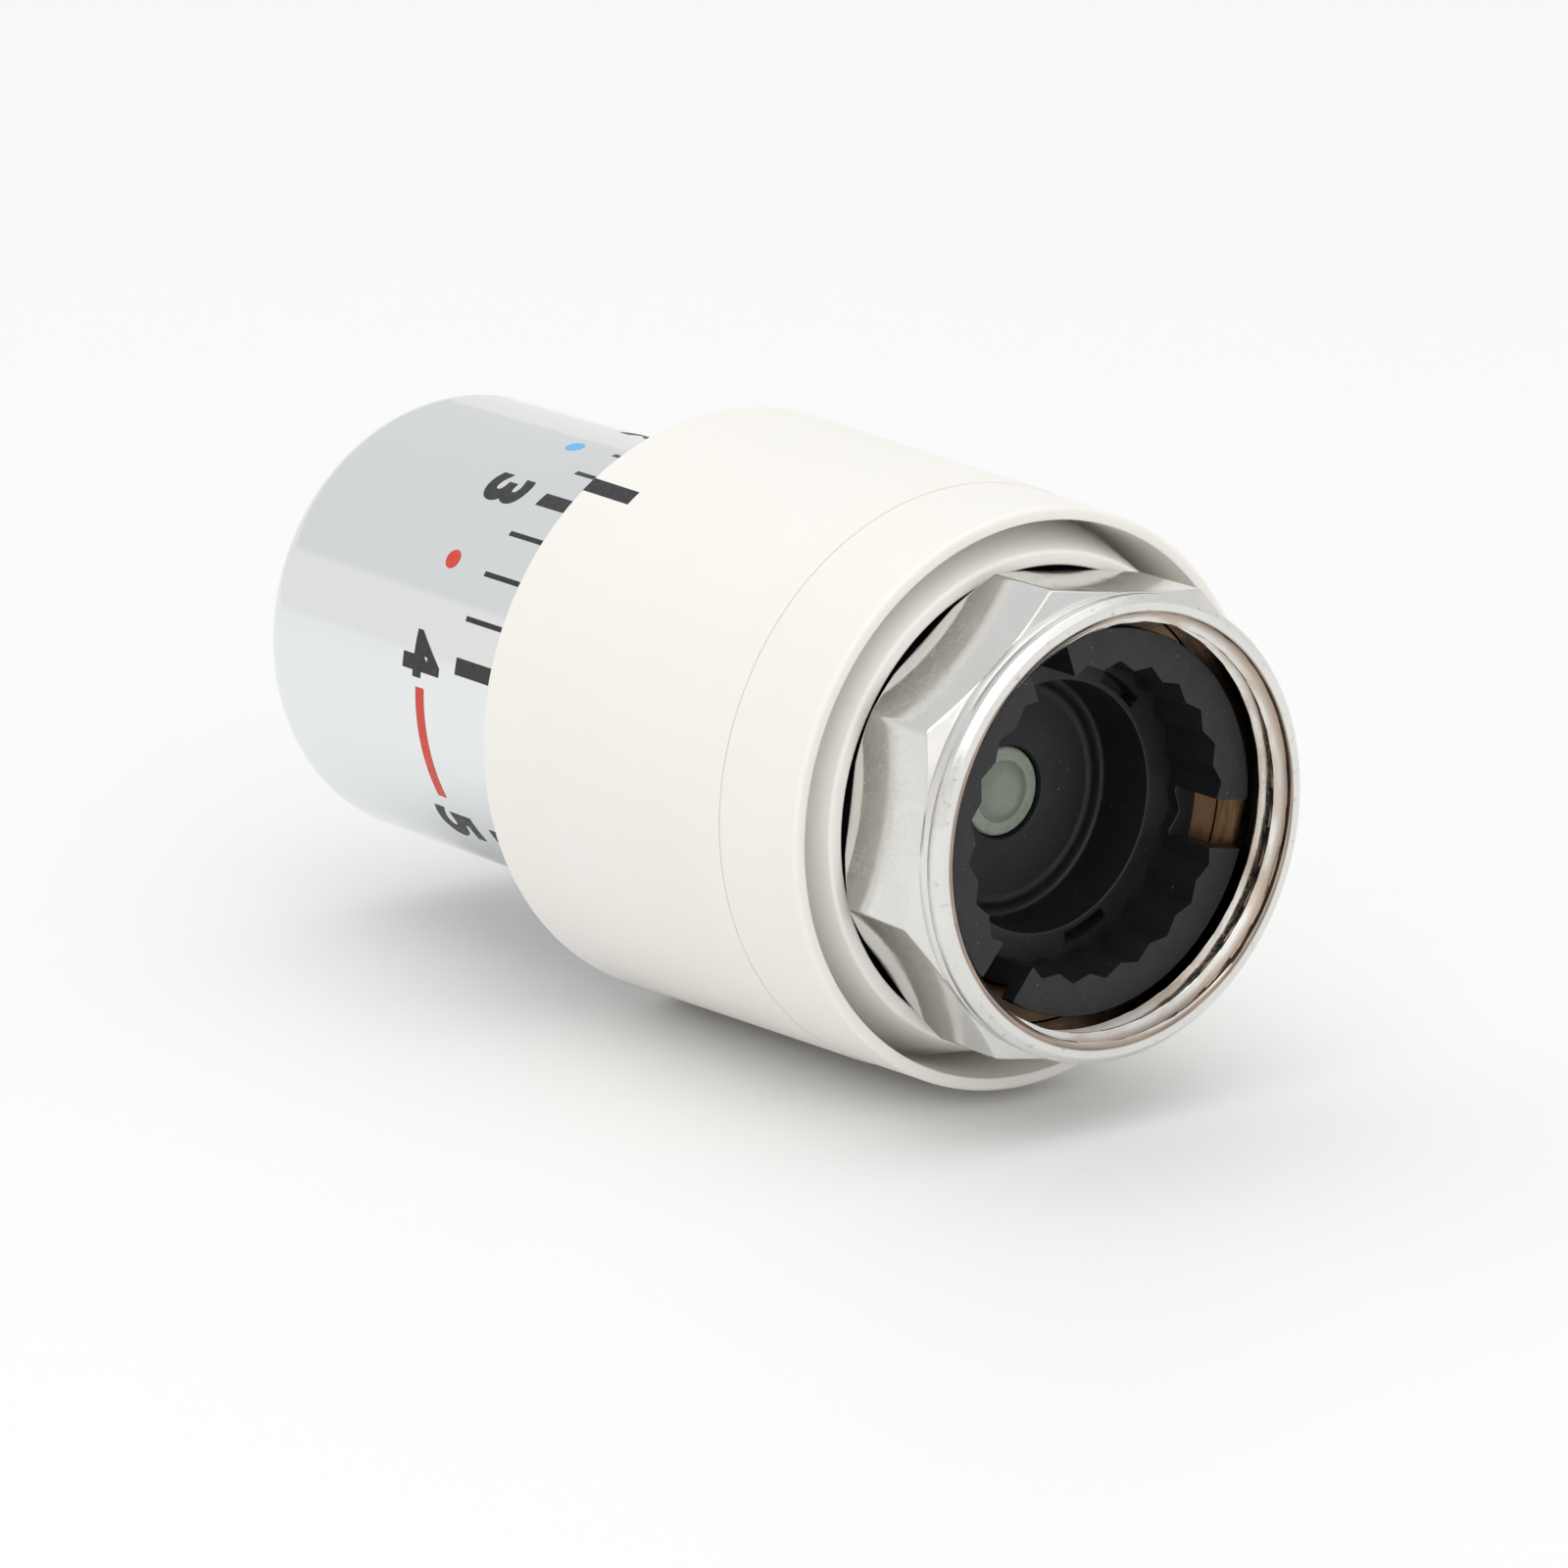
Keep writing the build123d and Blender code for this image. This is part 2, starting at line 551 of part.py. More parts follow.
def make_wheel_insert():
    insert = turned([
        (INSERT_START, INSERT_GRIP_R),
        (INSERT_START, WHEEL_BORE_R),
        (INSERT_END, WHEEL_BORE_R),
        (INSERT_END, INSERT_BORE_R),
        (INSERT_THRUST_DEPTH + INSERT_THRUST_THICKNESS, INSERT_BORE_R),
        (INSERT_THRUST_DEPTH + INSERT_THRUST_THICKNESS, INSERT_THRUST_R),
        (INSERT_THRUST_DEPTH, INSERT_THRUST_R),
        (INSERT_THRUST_DEPTH, INSERT_BORE_R),
        (INSERT_GRIP_END, INSERT_BORE_R),
        (INSERT_GRIP_END, INSERT_GRIP_R),
    ])
    groove_end = FRICTION_RING_DEPTH + FRICTION_RING_WIDTH
    insert -= tube(FRICTION_RING_DEPTH, groove_end, 0, INSERT_GRIP_R + FRICTION_RING_HEIGHT)
    dog_inner = DOG_R - DOG_THICKNESS
    return insert + sector(DOG_START, INSERT_START, dog_inner, DOG_R, DOG_ANGLE, DOG_SWEEP)


def make_friction_ring():
    end = FRICTION_RING_DEPTH + FRICTION_RING_WIDTH
    inner = CORE_R + FRICTION_RING_CLEARANCE
    return tube(FRICTION_RING_DEPTH, end, inner, INSERT_GRIP_R + FRICTION_RING_HEIGHT)


def make_wheel_snap_ring():
    start = INSERT_START - SNAP_RING_THICKNESS
    sweep_kept = 360.0 - SNAP_RING_GAP
    inner = WHEEL_BORE_R - SNAP_RING_WIDTH
    return sector(start, INSERT_START, inner, WHEEL_BORE_R, DOG_ANGLE + 180, sweep_kept)


# ---------------------------------------------------------------- sensor
def make_sensor_can():
    return turned([
        (SENSOR_START, ROD_HOLE_R),
        (SENSOR_START, SENSOR_R),
        (SENSOR_END, SENSOR_R),
        (SENSOR_END, SENSOR_R - SENSOR_WALL),
        (SENSOR_START + SENSOR_WALL, SENSOR_R - SENSOR_WALL),
        (SENSOR_START + SENSOR_WALL, ROD_HOLE_R),
    ])


def make_sensor_cap():
    return tube(SENSOR_END, SENSOR_END + SENSOR_CAP_THICKNESS, FILL_STUB_R, SENSOR_R)


def make_fill_stub():
    return tube(SENSOR_END, SENSOR_END + SENSOR_CAP_THICKNESS + FILL_STUB_LENGTH, 0, FILL_STUB_R)


def make_bellows():
    fold = BELLOWS_LENGTH / BELLOWS_FOLDS
    outside = []
    for index in range(BELLOWS_FOLDS):
        start = BELLOWS_START + index * fold
        outside += [(start, BELLOWS_INNER_R), (start + fold / 2, BELLOWS_R)]
    outside.append((BELLOWS_END, BELLOWS_INNER_R))
    inside = [(depth, radius - BELLOWS_SKIN) for depth, radius in reversed(outside)]
    return turned(outside + inside)


def make_bellows_disc():
    return tube(BELLOWS_END, BELLOWS_END + BELLOWS_DISC_THICKNESS, 0, BELLOWS_R)


def make_sensor_guide():
    guide_end = GUIDE_START + GUIDE_LENGTH
    guide = turned([
        (GUIDE_START, GUIDE_LIP_R),
        (GUIDE_START, GUIDE_OUTER_R),
        (guide_end, GUIDE_OUTER_R),
        (guide_end, SENSOR_R),
        (SENSOR_START, SENSOR_R),
        (SENSOR_START, GUIDE_LIP_R),
    ])
    inner = (GUIDE_OUTER_R + SENSOR_R) / 2
    for angle in (0, 180):
        guide += block(GUIDE_START, guide_end, inner, CORE_BORE_R + KEY_HEIGHT, KEY_WIDTH, angle)
    return guide


def make_overload_cup():
    end = OVERLOAD_CUP_DEPTH + OVERLOAD_CUP_THICKNESS
    return tube(OVERLOAD_CUP_DEPTH, end, SENSOR_R, OVERLOAD_CUP_R)


def make_overload_spring():
    return coil(OVERLOAD_SPRING_START, THRUST_PLATE_START, OVERLOAD_MEAN_R, OVERLOAD_WIRE, OVERLOAD_TURNS)


def make_thrust_plate():
    end = THRUST_PLATE_START + THRUST_PLATE_THICKNESS
    return tube(THRUST_PLATE_START, end, INSERT_THRUST_R, OVERLOAD_CUP_R)


# ---------------------------------------------------------------- all nodes
PARTS = {
    "union_nut": make_union_nut(),
    "slip_ring": make_slip_ring(),
    "valve_socket": make_valve_socket(),
    "push_pin": make_push_pin(),
    "push_rod": make_push_rod(),
    "return_spring": make_return_spring(),
    "base_core": make_base_core(),
    "sleeve_carrier": make_sleeve_carrier(),
    "limit_ring": make_limit_ring(),
    "min_limit_clip": make_limit_clip(-DEGREES_PER_NUMBER * REST_SETTING),
    "max_limit_clip": make_limit_clip(DEGREES_PER_NUMBER * (TOP_SETTING - REST_SETTING)),
    "outer_sleeve": make_outer_sleeve(),
    "front_collar": make_front_collar(),
    "inner_skirt": make_inner_skirt(),
    "hand_wheel": make_hand_wheel(),
    "end_cap": make_end_cap(),
    "wheel_insert": make_wheel_insert(),
    "friction_ring": make_friction_ring(),
    "wheel_snap_ring": make_wheel_snap_ring(),
    "sensor_can": make_sensor_can(),
    "sensor_cap": make_sensor_cap(),
    "fill_stub": make_fill_stub(),
    "bellows": make_bellows(),
    "bellows_disc": make_bellows_disc(),
    "sensor_guide": make_sensor_guide(),
    "overload_cup": make_overload_cup(),
    "overload_spring": make_overload_spring(),
    "thrust_plate": make_thrust_plate(),
}

os.makedirs("parts", exist_ok=True)
for name, shape in PARTS.items():
    export_step(shape, f"parts/{name}.step")
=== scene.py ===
import json
import math

import bmesh
import bpy
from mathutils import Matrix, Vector


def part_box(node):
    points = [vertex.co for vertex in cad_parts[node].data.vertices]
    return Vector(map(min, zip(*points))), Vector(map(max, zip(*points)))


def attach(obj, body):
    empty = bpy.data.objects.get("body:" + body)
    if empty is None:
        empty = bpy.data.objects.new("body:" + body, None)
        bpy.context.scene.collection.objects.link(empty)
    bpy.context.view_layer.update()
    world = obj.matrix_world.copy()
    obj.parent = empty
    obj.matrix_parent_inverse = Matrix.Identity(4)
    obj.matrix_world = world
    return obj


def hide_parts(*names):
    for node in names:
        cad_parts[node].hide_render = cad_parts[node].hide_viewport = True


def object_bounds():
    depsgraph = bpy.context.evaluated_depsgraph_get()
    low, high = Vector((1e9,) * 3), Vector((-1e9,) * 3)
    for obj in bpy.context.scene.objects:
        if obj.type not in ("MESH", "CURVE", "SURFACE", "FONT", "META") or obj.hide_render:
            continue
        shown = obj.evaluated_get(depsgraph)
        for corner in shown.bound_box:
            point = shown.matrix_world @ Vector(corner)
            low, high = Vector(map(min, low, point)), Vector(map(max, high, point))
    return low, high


# Looks of a thermostatic radiator head. Sizes are in millimetres until a mesh is made. A "depth" is the
# distance behind the union nut's front face, so depth d lies at x = -d. Angles go round the X axis from
# +Z towards +Y, in degrees.

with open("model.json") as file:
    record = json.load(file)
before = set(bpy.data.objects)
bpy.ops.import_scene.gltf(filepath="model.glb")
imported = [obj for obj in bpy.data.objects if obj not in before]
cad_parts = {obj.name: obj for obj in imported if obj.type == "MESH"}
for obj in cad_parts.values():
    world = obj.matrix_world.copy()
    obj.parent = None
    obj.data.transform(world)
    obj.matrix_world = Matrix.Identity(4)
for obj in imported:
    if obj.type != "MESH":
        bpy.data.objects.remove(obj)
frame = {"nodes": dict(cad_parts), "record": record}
CAD_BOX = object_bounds()
MM = 0.001


# ---------------------------------------------------------------- readings from the frame
def outline_points(node):
    """(depth, radius) of every vertex of a CAD node."""
    return [(-v.co.x / MM, math.hypot(v.co.y, v.co.z) / MM) for v in frame["nodes"][node].data.vertices]


def depths(node):
    """Front and rear depth of a CAD node."""
    low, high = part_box(node)
    return -high.x / MM, -low.x / MM


def radii(node, depth, reach=0.03):
    """Smallest and largest radius of a CAD node's vertices that lie at a depth."""
    found = [r for d, r in outline_points(node) if abs(d - depth) < reach]
    return min(found), max(found)


def mount_radius(name):
    """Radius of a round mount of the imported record."""
    return next(m["dims"]["r_mm"] for m in frame["record"]["mounts"] if m["name"] == name)


NUT_FRONT, NUT_REAR = depths("union_nut")
SOCKET_FACE, GUIDE_END = depths("valve_socket")
PIN_FACE, PIN_END = depths("push_pin")
COLLAR_FACE, COLLAR_SPIGOT_END = depths("front_collar")
SLEEVE_FRONT, SLEEVE_END = depths("outer_sleeve")
SKIRT_LIP, SKIRT_BASE = depths("inner_skirt")
WHEEL_START, WHEEL_END = depths("hand_wheel")
CAP_START, CAP_END = depths("end_cap")
THREAD_R = mount_radius("valve_thread")
CUP_R = mount_radius("socket_cup")
NUT_CORNER_R = max(r for d, r in outline_points("union_nut"))
NUT_LIP_R = radii("union_nut", NUT_REAR)[0]
THREAD_ROOT_R = radii("union_nut", NUT_FRONT)[0]
SOCKET_RING_R = radii("valve_socket", SOCKET_FACE)[1]
GUIDE_R, GUIDE_TUBE_R = radii("valve_socket", GUIDE_END)
PIN_FLANGE_R = max(r for d, r in outline_points("push_pin"))
ROD_R = radii("push_pin", PIN_END)[0]
PIN_R = radii("push_pin", PIN_END)[1]
SLEEVE_FRONT_BORE_R, SLEEVE_FRONT_R = radii("outer_sleeve", SLEEVE_FRONT)
SLEEVE_OPENING_R = radii("outer_sleeve", SLEEVE_END)[0]
COLLAR_RIM_INNER_R = radii("front_collar", COLLAR_FACE)[0]
COLLAR_SPIGOT_R = radii("front_collar", COLLAR_SPIGOT_END)
SKIRT_LIP_R = radii("inner_skirt", SKIRT_LIP)[0]
SKIRT_SEAT_R, SKIRT_BASE_R = radii("inner_skirt", SKIRT_BASE)
WHEEL_BORE_R, WHEEL_R = radii("hand_wheel", WHEEL_START)
CAP_R = radii("end_cap", CAP_START)[1]


# ---------------------------------------------------------------- mesh helpers
def arc_corner(before, here, after, fillet, steps):
    """Points of the arc that rounds one corner of an outline."""
    back = (before - here).normalized()
    on = (after - here).normalized()
    half = back.angle(on) / 2
    centre = here + (back + on).normalized() * fillet / math.sin(half)
    first = here + back * fillet / math.tan(half) - centre
    last = here + on * fillet / math.tan(half) - centre
    turn = math.remainder(math.atan2(last.y, last.x) - math.atan2(first.y, first.x), math.tau)
    start = math.atan2(first.y, first.x)
    angles = [start + turn * step / steps for step in range(steps + 1)]
    return [centre + fillet * Vector((math.cos(a), math.sin(a))) for a in angles]


def rounded(corners, steps=4):
    """Closed outline through (a, b, fillet) corners, each fillet drawn as an arc."""
    spots = [Vector(corner[:2]) for corner in corners]
    points = []
    for index, (here, corner) in enumerate(zip(spots, corners)):
        if corner[2] == 0:
            points.append(here)
        else:
            after = spots[(index + 1) % len(spots)]
            points += arc_corner(spots[index - 1], here, after, corner[2], steps)
    return [(point.x, point.y) for point in points]


def place(depth, radius, angle):
    """Point at a depth, a radius and an angle, in metres."""
    turn = math.radians(angle)
    return (-depth * MM, radius * math.sin(turn) * MM, radius * math.cos(turn) * MM)


def finish_mesh(name, vertices, faces, material, body, sharp_angle=50):
    """Object from a closed mesh: outward normals, smooth faces with crisp corners, riding on a body."""
    mesh = bpy.data.meshes.new(name)
    mesh.from_pydata(vertices, [], faces)
    work = bmesh.new()
    work.from_mesh(mesh)
    bmesh.ops.recalc_face_normals(work, faces=work.faces)
    work.to_mesh(mesh)
    work.free()
    mesh.shade_smooth()
    mesh.set_sharp_from_angle(angle=math.radians(sharp_angle))
    mesh.materials.append(material)
    piece = bpy.data.objects.new(name, mesh)
    bpy.context.scene.collection.objects.link(piece)
    weighted = piece.modifiers.new("even_normals", "WEIGHTED_NORMAL")
    weighted.keep_sharp = True
    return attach(piece, body)


def skin(rows, columns):
    """Vertices and faces that join rows round the axis into a closed surface.

    A row is a (depth, radius) pair, or a function that gives the pair at an angle.
    A radius of 0 is a pole.
    """
    vertices = []
    rings = []
    for row in rows:
        if not callable(row) and row[1] == 0:
            rings.append([len(vertices)] * columns)
            vertices.append(place(row[0], 0, 0))
            continue
        rings.append(list(range(len(vertices), len(vertices) + columns)))
        for column in range(columns):
            angle = 360.0 * column / columns
            depth, radius = row(angle) if callable(row) else row
            vertices.append(place(depth, radius, angle))
    faces = []
    for index, ring in enumerate(rings):
        last = rings[index - 1]
        for column in range(columns):
            beside = (column + 1) % columns
            corners = [last[column], last[beside], ring[beside], ring[column]]
            distinct = list(dict.fromkeys(corners))
            if len(distinct) > 2:
                faces.append(distinct)
    return vertices, faces


def lathe(name, corners, material, body, columns=256, steps=4):
    """Turned piece from (depth, radius, fillet) corners."""
    vertices, faces = skin(rounded(corners, steps), columns)
    return finish_mesh(name, vertices, faces, material, body)


def joined(*parts):
    """One vertex and face list out of several."""
    vertices = []
    faces = []
    for more_vertices, more_faces in parts:
        shift = len(vertices)
        vertices += more_vertices
        faces += [[index + shift for index in face] for face in more_faces]
    return vertices, faces


def gap_to(angle, centre):
    """Smallest turn from one angle to another, with its sign."""
    return math.remainder(angle - centre, 360.0)


# ---------------------------------------------------------------- material helpers
def add_node(tree, kind, inputs=None, **settings):
    """Shader node with its settings, and its inputs given as values or as output sockets."""
    made = tree.nodes.new(kind)
    for key, value in settings.items():
        setattr(made, key, value)
    for key, value in (inputs or {}).items():
        if isinstance(value, bpy.types.NodeSocket):
            tree.links.new(value, made.inputs[key])
        else:
            made.inputs[key].default_value = value
    return made


def shader_of(material):
    """The material's shader node."""
    return material.node_tree.nodes["Principled BSDF"]


def new_material(name, metallic, roughness):
    """Material with its node tree and the object's own coordinates."""
    material = bpy.data.materials.new(name)
    material.use_nodes = True
    shader_of(material).inputs["Metallic"].default_value = metallic
    shader_of(material).inputs["Roughness"].default_value = roughness
    tree = material.node_tree
    return material, tree, tree.nodes.new("ShaderNodeTexCoord").outputs["Object"]


def stretched(tree, where, scale):
    """Coordinates scaled by a different number along each axis."""
    return add_node(tree, "ShaderNodeMapping", {"Vector": where, "Scale": scale}).outputs["Vector"]


def noise(tree, where, size, detail=3.0):
    """Noise whose patches are about a size in millimetres."""
    inputs = {"Vector": where, "Scale": 1 / (size * MM), "Detail": detail}
    return add_node(tree, "ShaderNodeTexNoise", inputs).outputs["Fac"]


def spread(tree, value, low, high, to_low=0.0, to_high=1.0):
    """Value mapped from one range to another, and kept inside it."""
    inputs = {"Value": value, "From Min": low, "From Max": high, "To Min": to_low, "To Max": to_high}
    return add_node(tree, "ShaderNodeMapRange", inputs).outputs["Result"]


def mixed(tree, share, first, second):
    """Colour between two colours, each given as (red, green, blue) or as a socket."""
    ends = [end if isinstance(end, bpy.types.NodeSocket) else (*end, 1.0) for end in (first, second)]
    inputs = {0: share, 6: ends[0], 7: ends[1]}
    return add_node(tree, "ShaderNodeMix", inputs, data_type="RGBA").outputs[2]


def math_node(tree, operation, first, second=0.0):
    """Result of a Math node on two values or sockets."""
    return add_node(tree, "ShaderNodeMath", {0: first, 1: second}, operation=operation).outputs[0]


def bump(tree, height, distance, strength=1.0, normal=None):
    """Bump from a height, over a distance in millimetres."""
    inputs = {"Height": height, "Distance": distance * MM, "Strength": strength}
    if normal is not None:
        inputs["Normal"] = normal
    return add_node(tree, "ShaderNodeBump", inputs).outputs["Normal"]


def uneven(tree, pattern, low, high):
    """Roughness that follows a noise pattern between two values."""
    return spread(tree, pattern, 0.3, 0.7, low, high)


def wired(material, colour, roughness, normal):
    """The material, with its colour, roughness and normal linked to its shader."""
    for socket, name in ((colour, "Base Color"), (roughness, "Roughness"), (normal, "Normal")):
        material.node_tree.links.new(socket, shader_of(material).inputs[name])
    return material


def radius_and_depth(tree, where):
    """Radius and depth of the point, in metres, as sockets."""
    parts = add_node(tree, "ShaderNodeSeparateXYZ", {"Vector": where})
    across = math_node(tree, "MULTIPLY", parts.outputs["Y"], parts.outputs["Y"])
    up = math_node(tree, "MULTIPLY", parts.outputs["Z"], parts.outputs["Z"])
    radius = math_node(tree, "SQRT", math_node(tree, "ADD", across, up))
    return radius, math_node(tree, "MULTIPLY", parts.outputs["X"], -1.0)


def scratches(tree, where, scale, size, thin):
    """Height of fine scratches: thin lines where stretched noise passes its middle value."""
    lines = noise(tree, stretched(tree, where, scale), size, 2.0)
    away = math_node(tree, "ABSOLUTE", math_node(tree, "SUBTRACT", lines, 0.5))
    return spread(tree, away, 0.0, thin, 1.0, 0.0)


# ---------------------------------------------------------------- materials
def plastic(name, light, dark, rough, grain=0.004, specular=0.5):
    """Moulded plastic: slightly uneven colour and gloss over a fine moulded grain."""
    material, tree, where = new_material(name, 0.0, sum(rough) / 2)
    shader_of(material).inputs["Specular IOR Level"].default_value = specular
    colour = mixed(tree, noise(tree, where, 9.0), light, dark)
    gloss = uneven(tree, noise(tree, where, 1.6, 4.0), *rough)
    return wired(material, colour, gloss, bump(tree, noise(tree, where, 0.16, 2.0), grain))


def black_plastic():
    """Near-black moulded plastic with a fine grain and a few specks of dust."""
    material, tree, where = new_material("black_plastic", 0.0, 0.4)
    dust = spread(tree, noise(tree, where, 0.22, 1.0), 0.75, 0.80)
    ground = mixed(tree, noise(tree, where, 5.0), (0.005, 0.0055, 0.008), (0.009, 0.010, 0.013))
    colour = mixed(tree, dust, ground, (0.16, 0.16, 0.16))
    gloss = uneven(tree, noise(tree, where, 1.2, 4.0), 0.42, 0.56)
    return wired(material, colour, gloss, bump(tree, noise(tree, where, 0.12, 2.0), 0.004))


def pin_plastic():
    """Pale greenish plastic that lets some light through."""
    material, tree, where = new_material("pin_plastic", 0.0, 0.3)
    shader = shader_of(material)
    shader.inputs["Subsurface Weight"].default_value = 0.7
    shader.inputs["Subsurface Radius"].default_value = (0.8, 1.0, 0.8)
    shader.inputs["Subsurface Scale"].default_value = 1.5 * MM
    colour = mixed(tree, noise(tree, where, 2.5), (0.30, 0.35, 0.285), (0.38, 0.425, 0.355))
    gloss = uneven(tree, noise(tree, where, 0.8), 0.22, 0.38)
    return wired(material, colour, gloss, bump(tree, noise(tree, where, 0.5), 0.01))


def wheel_chrome():
    """Bright chrome on smooth plastic, with a very faint waviness and hairline wiping marks."""
    material, tree, where = new_material("chromed_plastic", 1.0, 0.05)
    colour = mixed(tree, noise(tree, where, 12.0), (0.79, 0.815, 0.83), (0.84, 0.85, 0.855))
    hair = scratches(tree, where, (0.25, 1.0, 1.0), 0.9, 0.004)
    smear = spread(tree, noise(tree, where, 3.0, 5.0), 0.35, 0.75, 0.03, 0.08)
    gloss = math_node(tree, "ADD", smear, math_node(tree, "MULTIPLY", hair, 0.05))
    return wired(material, colour, gloss, bump(tree, noise(tree, where, 6.0, 1.0), 0.006))


def nut_colour(tree, where, radius, depth):
    """Colour of the plated nut, browned in its thread, with painted shade as a dark band deeper in its bore.
    """
    inside = spread(tree, radius, (THREAD_ROOT_R + 0.15) * MM, (THREAD_ROOT_R + 0.02) * MM)
    groove = spread(tree, radius, (THREAD_R + 0.25) * MM, (THREAD_ROOT_R - 0.02) * MM)
    behind_thread = spread(tree, depth, 2.3 * MM, 3.2 * MM)
    under_ring = spread(tree, depth, 4.4 * MM, 5.2 * MM)
    near_mouth = spread(tree, depth, 0.7 * MM, 0.0)
    stain = spread(tree, noise(tree, where, 0.7, 6.0), 0.62, 0.70, 0.0, 0.6)
    streak = spread(tree, noise(tree, stretched(tree, where, (2.5, 0.4, 0.4)), 1.5), 0.42, 0.62)
    plated = mixed(tree, noise(tree, where, 4.0), (0.70, 0.69, 0.665), (0.80, 0.80, 0.79))
    stained = math_node(tree, "MULTIPLY", stain, near_mouth)
    outside = mixed(tree, stained, plated, (0.50, 0.34, 0.24))
    crest = mixed(tree, streak, (0.76, 0.75, 0.72), (0.60, 0.51, 0.44))
    brown = mixed(tree, streak, (0.24, 0.175, 0.135), (0.38, 0.29, 0.23))
    # painted shade and reflection: a near-black band in the bore between the thread and the socket ring,
    # standing for the dark socket barrel seen in the bore
    painted_bore_shade = mixed(tree, streak, (0.05, 0.042, 0.038), (0.10, 0.08, 0.065))
    bare = mixed(tree, behind_thread, brown, mixed(tree, under_ring, painted_bore_shade, brown))
    inner = mixed(tree, math_node(tree, "MAXIMUM", groove, behind_thread), crest, bare)
    return mixed(tree, inside, outside, inner)


def nut_chrome():
    """Plated brass: turned rings on the collar and the front face, scratches and dents all over."""
    material, tree, where = new_material("chromed_nut", 1.0, 0.12)
    radius, depth = radius_and_depth(tree, where)
    along_marks = scratches(tree, where, (0.3, 1.0, 1.0), 0.7, 0.004)
    round_marks = scratches(tree, where, (1.4, 0.35, 0.35), 0.5, 0.004)
    dents = spread(tree, noise(tree, where, 0.4, 1.0), 0.72, 0.76)
    worn = math_node(tree, "MAXIMUM", math_node(tree, "MAXIMUM", along_marks, round_marks), dents)
    turned = noise(tree, stretched(tree, where, (1.0, 0.03, 0.03)), 0.11, 2.0)
    on_collar = spread(tree, depth, 2.3 * MM, 1.7 * MM, 0.05, 1.3)
    collar_rings = math_node(tree, "MULTIPLY", turned, on_collar)
    marked = math_node(tree, "MAXIMUM", worn, collar_rings)
    ground = uneven(tree, noise(tree, where, 2.2, 5.0), 0.07, 0.15)
    gloss = math_node(tree, "ADD", ground, math_node(tree, "MULTIPLY", marked, 0.12))
    ring_inputs = {"W": radius, "Scale": 1 / (0.1 * MM)}
    ring_noise = add_node(tree, "ShaderNodeTexNoise", ring_inputs, noise_dimensions="1D")
    on_face = spread(tree, depth, 0.1 * MM, 0.0)
    face_rings = math_node(tree, "MULTIPLY", ring_noise.outputs["Fac"], on_face)
    rings = bump(tree, math_node(tree, "ADD", collar_rings, face_rings), 0.018)
    wavy = bump(tree, noise(tree, where, 3.0, 1.5), 0.015, 1.0, rings)
    scratched = bump(tree, worn, 0.004, 0.5, wavy)
    return wired(material, nut_colour(tree, where, radius, depth), gloss, scratched)


def metal(name, light, dark, rough, grain_scale, grain_depth=0.004):
    """Bare metal with draw or turning marks; grain_scale stretches them along the axes."""
    material, tree, where = new_material(name, 1.0, sum(rough) / 2)
    colour = mixed(tree, noise(tree, where, 3.0, 4.0), light, dark)
    grain = noise(tree, stretched(tree, where, grain_scale), 0.15, 3.0)
    return wired(material, colour, uneven(tree, grain, *rough), bump(tree, grain, grain_depth))


def ink(name, colour, worn):
    """Printed ink: a thin satin film, a little uneven."""
    material, tree, where = new_material(name, 0.0, 0.45)
    speckle = spread(tree, noise(tree, where, 0.25, 4.0), 0.45, 0.8)
    printed = mixed(tree, speckle, colour, worn)
    gloss = uneven(tree, noise(tree, where, 0.4), 0.35, 0.55)
    return wired(material, printed, gloss, bump(tree, noise(tree, where, 0.1), 0.003))


# Scales that stretch a metal's grain round the axis, as turning does, or along it, as drawing does.
TURNED = (1.0, 0.05, 0.05)
DRAWN = (0.05, 1.0, 1.0)
PLASTICS = {
    "white_plastic": plastic("white_plastic", (0.885, 0.86, 0.82), (0.86, 0.83, 0.785), (0.34, 0.44), 0.003),
    "black_plastic": black_plastic(),
    "grey_plastic": plastic("grey_plastic", (0.20, 0.205, 0.21), (0.16, 0.165, 0.17), (0.35, 0.5)),
    "pin_plastic": pin_plastic(),
    "blue_plastic": plastic("blue_plastic", (0.02, 0.13, 0.42), (0.015, 0.10, 0.36), (0.3, 0.45)),
    "red_plastic": plastic("red_plastic", (0.55, 0.02, 0.015), (0.48, 0.015, 0.012), (0.3, 0.45)),
    "rubber": plastic("rubber", (0.015, 0.015, 0.015), (0.025, 0.025, 0.025), (0.7, 0.85), 0.01, 0.3),
}
METALS = {
    "chromed_nut": nut_chrome(),
    "chromed_plastic": wheel_chrome(),
    "steel": metal("steel", (0.56, 0.56, 0.55), (0.50, 0.50, 0.49), (0.22, 0.38), TURNED),
    "spring_steel": metal("spring_steel", (0.40, 0.40, 0.41), (0.30, 0.30, 0.31), (0.25, 0.42), DRAWN),
    "brass": metal("brass", (0.50, 0.38, 0.26), (0.38, 0.28, 0.19), (0.22, 0.40), TURNED),
    "copper": metal("copper", (0.72, 0.38, 0.24), (0.60, 0.30, 0.19), (0.25, 0.40), DRAWN),
}
FINISHES = PLASTICS | METALS
BLACK_INK = ink("black_ink", (0.008, 0.008, 0.009), (0.03, 0.03, 0.03))
RED_INK = ink("red_ink", (0.60, 0.035, 0.02), (0.66, 0.08, 0.05))
BLUE_INK = ink("blue_ink", (0.10, 0.42, 0.78), (0.18, 0.50, 0.82))


def dress_frame():
    """Every CAD node takes the finish of its own material slot."""
    for part in frame["record"]["subparts"]:
        mesh = frame["nodes"][part["node"]].data
        mesh.materials.clear()
        mesh.materials.append(FINISHES[part["material_slot"]])


def stands_for(node):
    """The piece replaces a CAD node, which is hidden."""
    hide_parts(node)


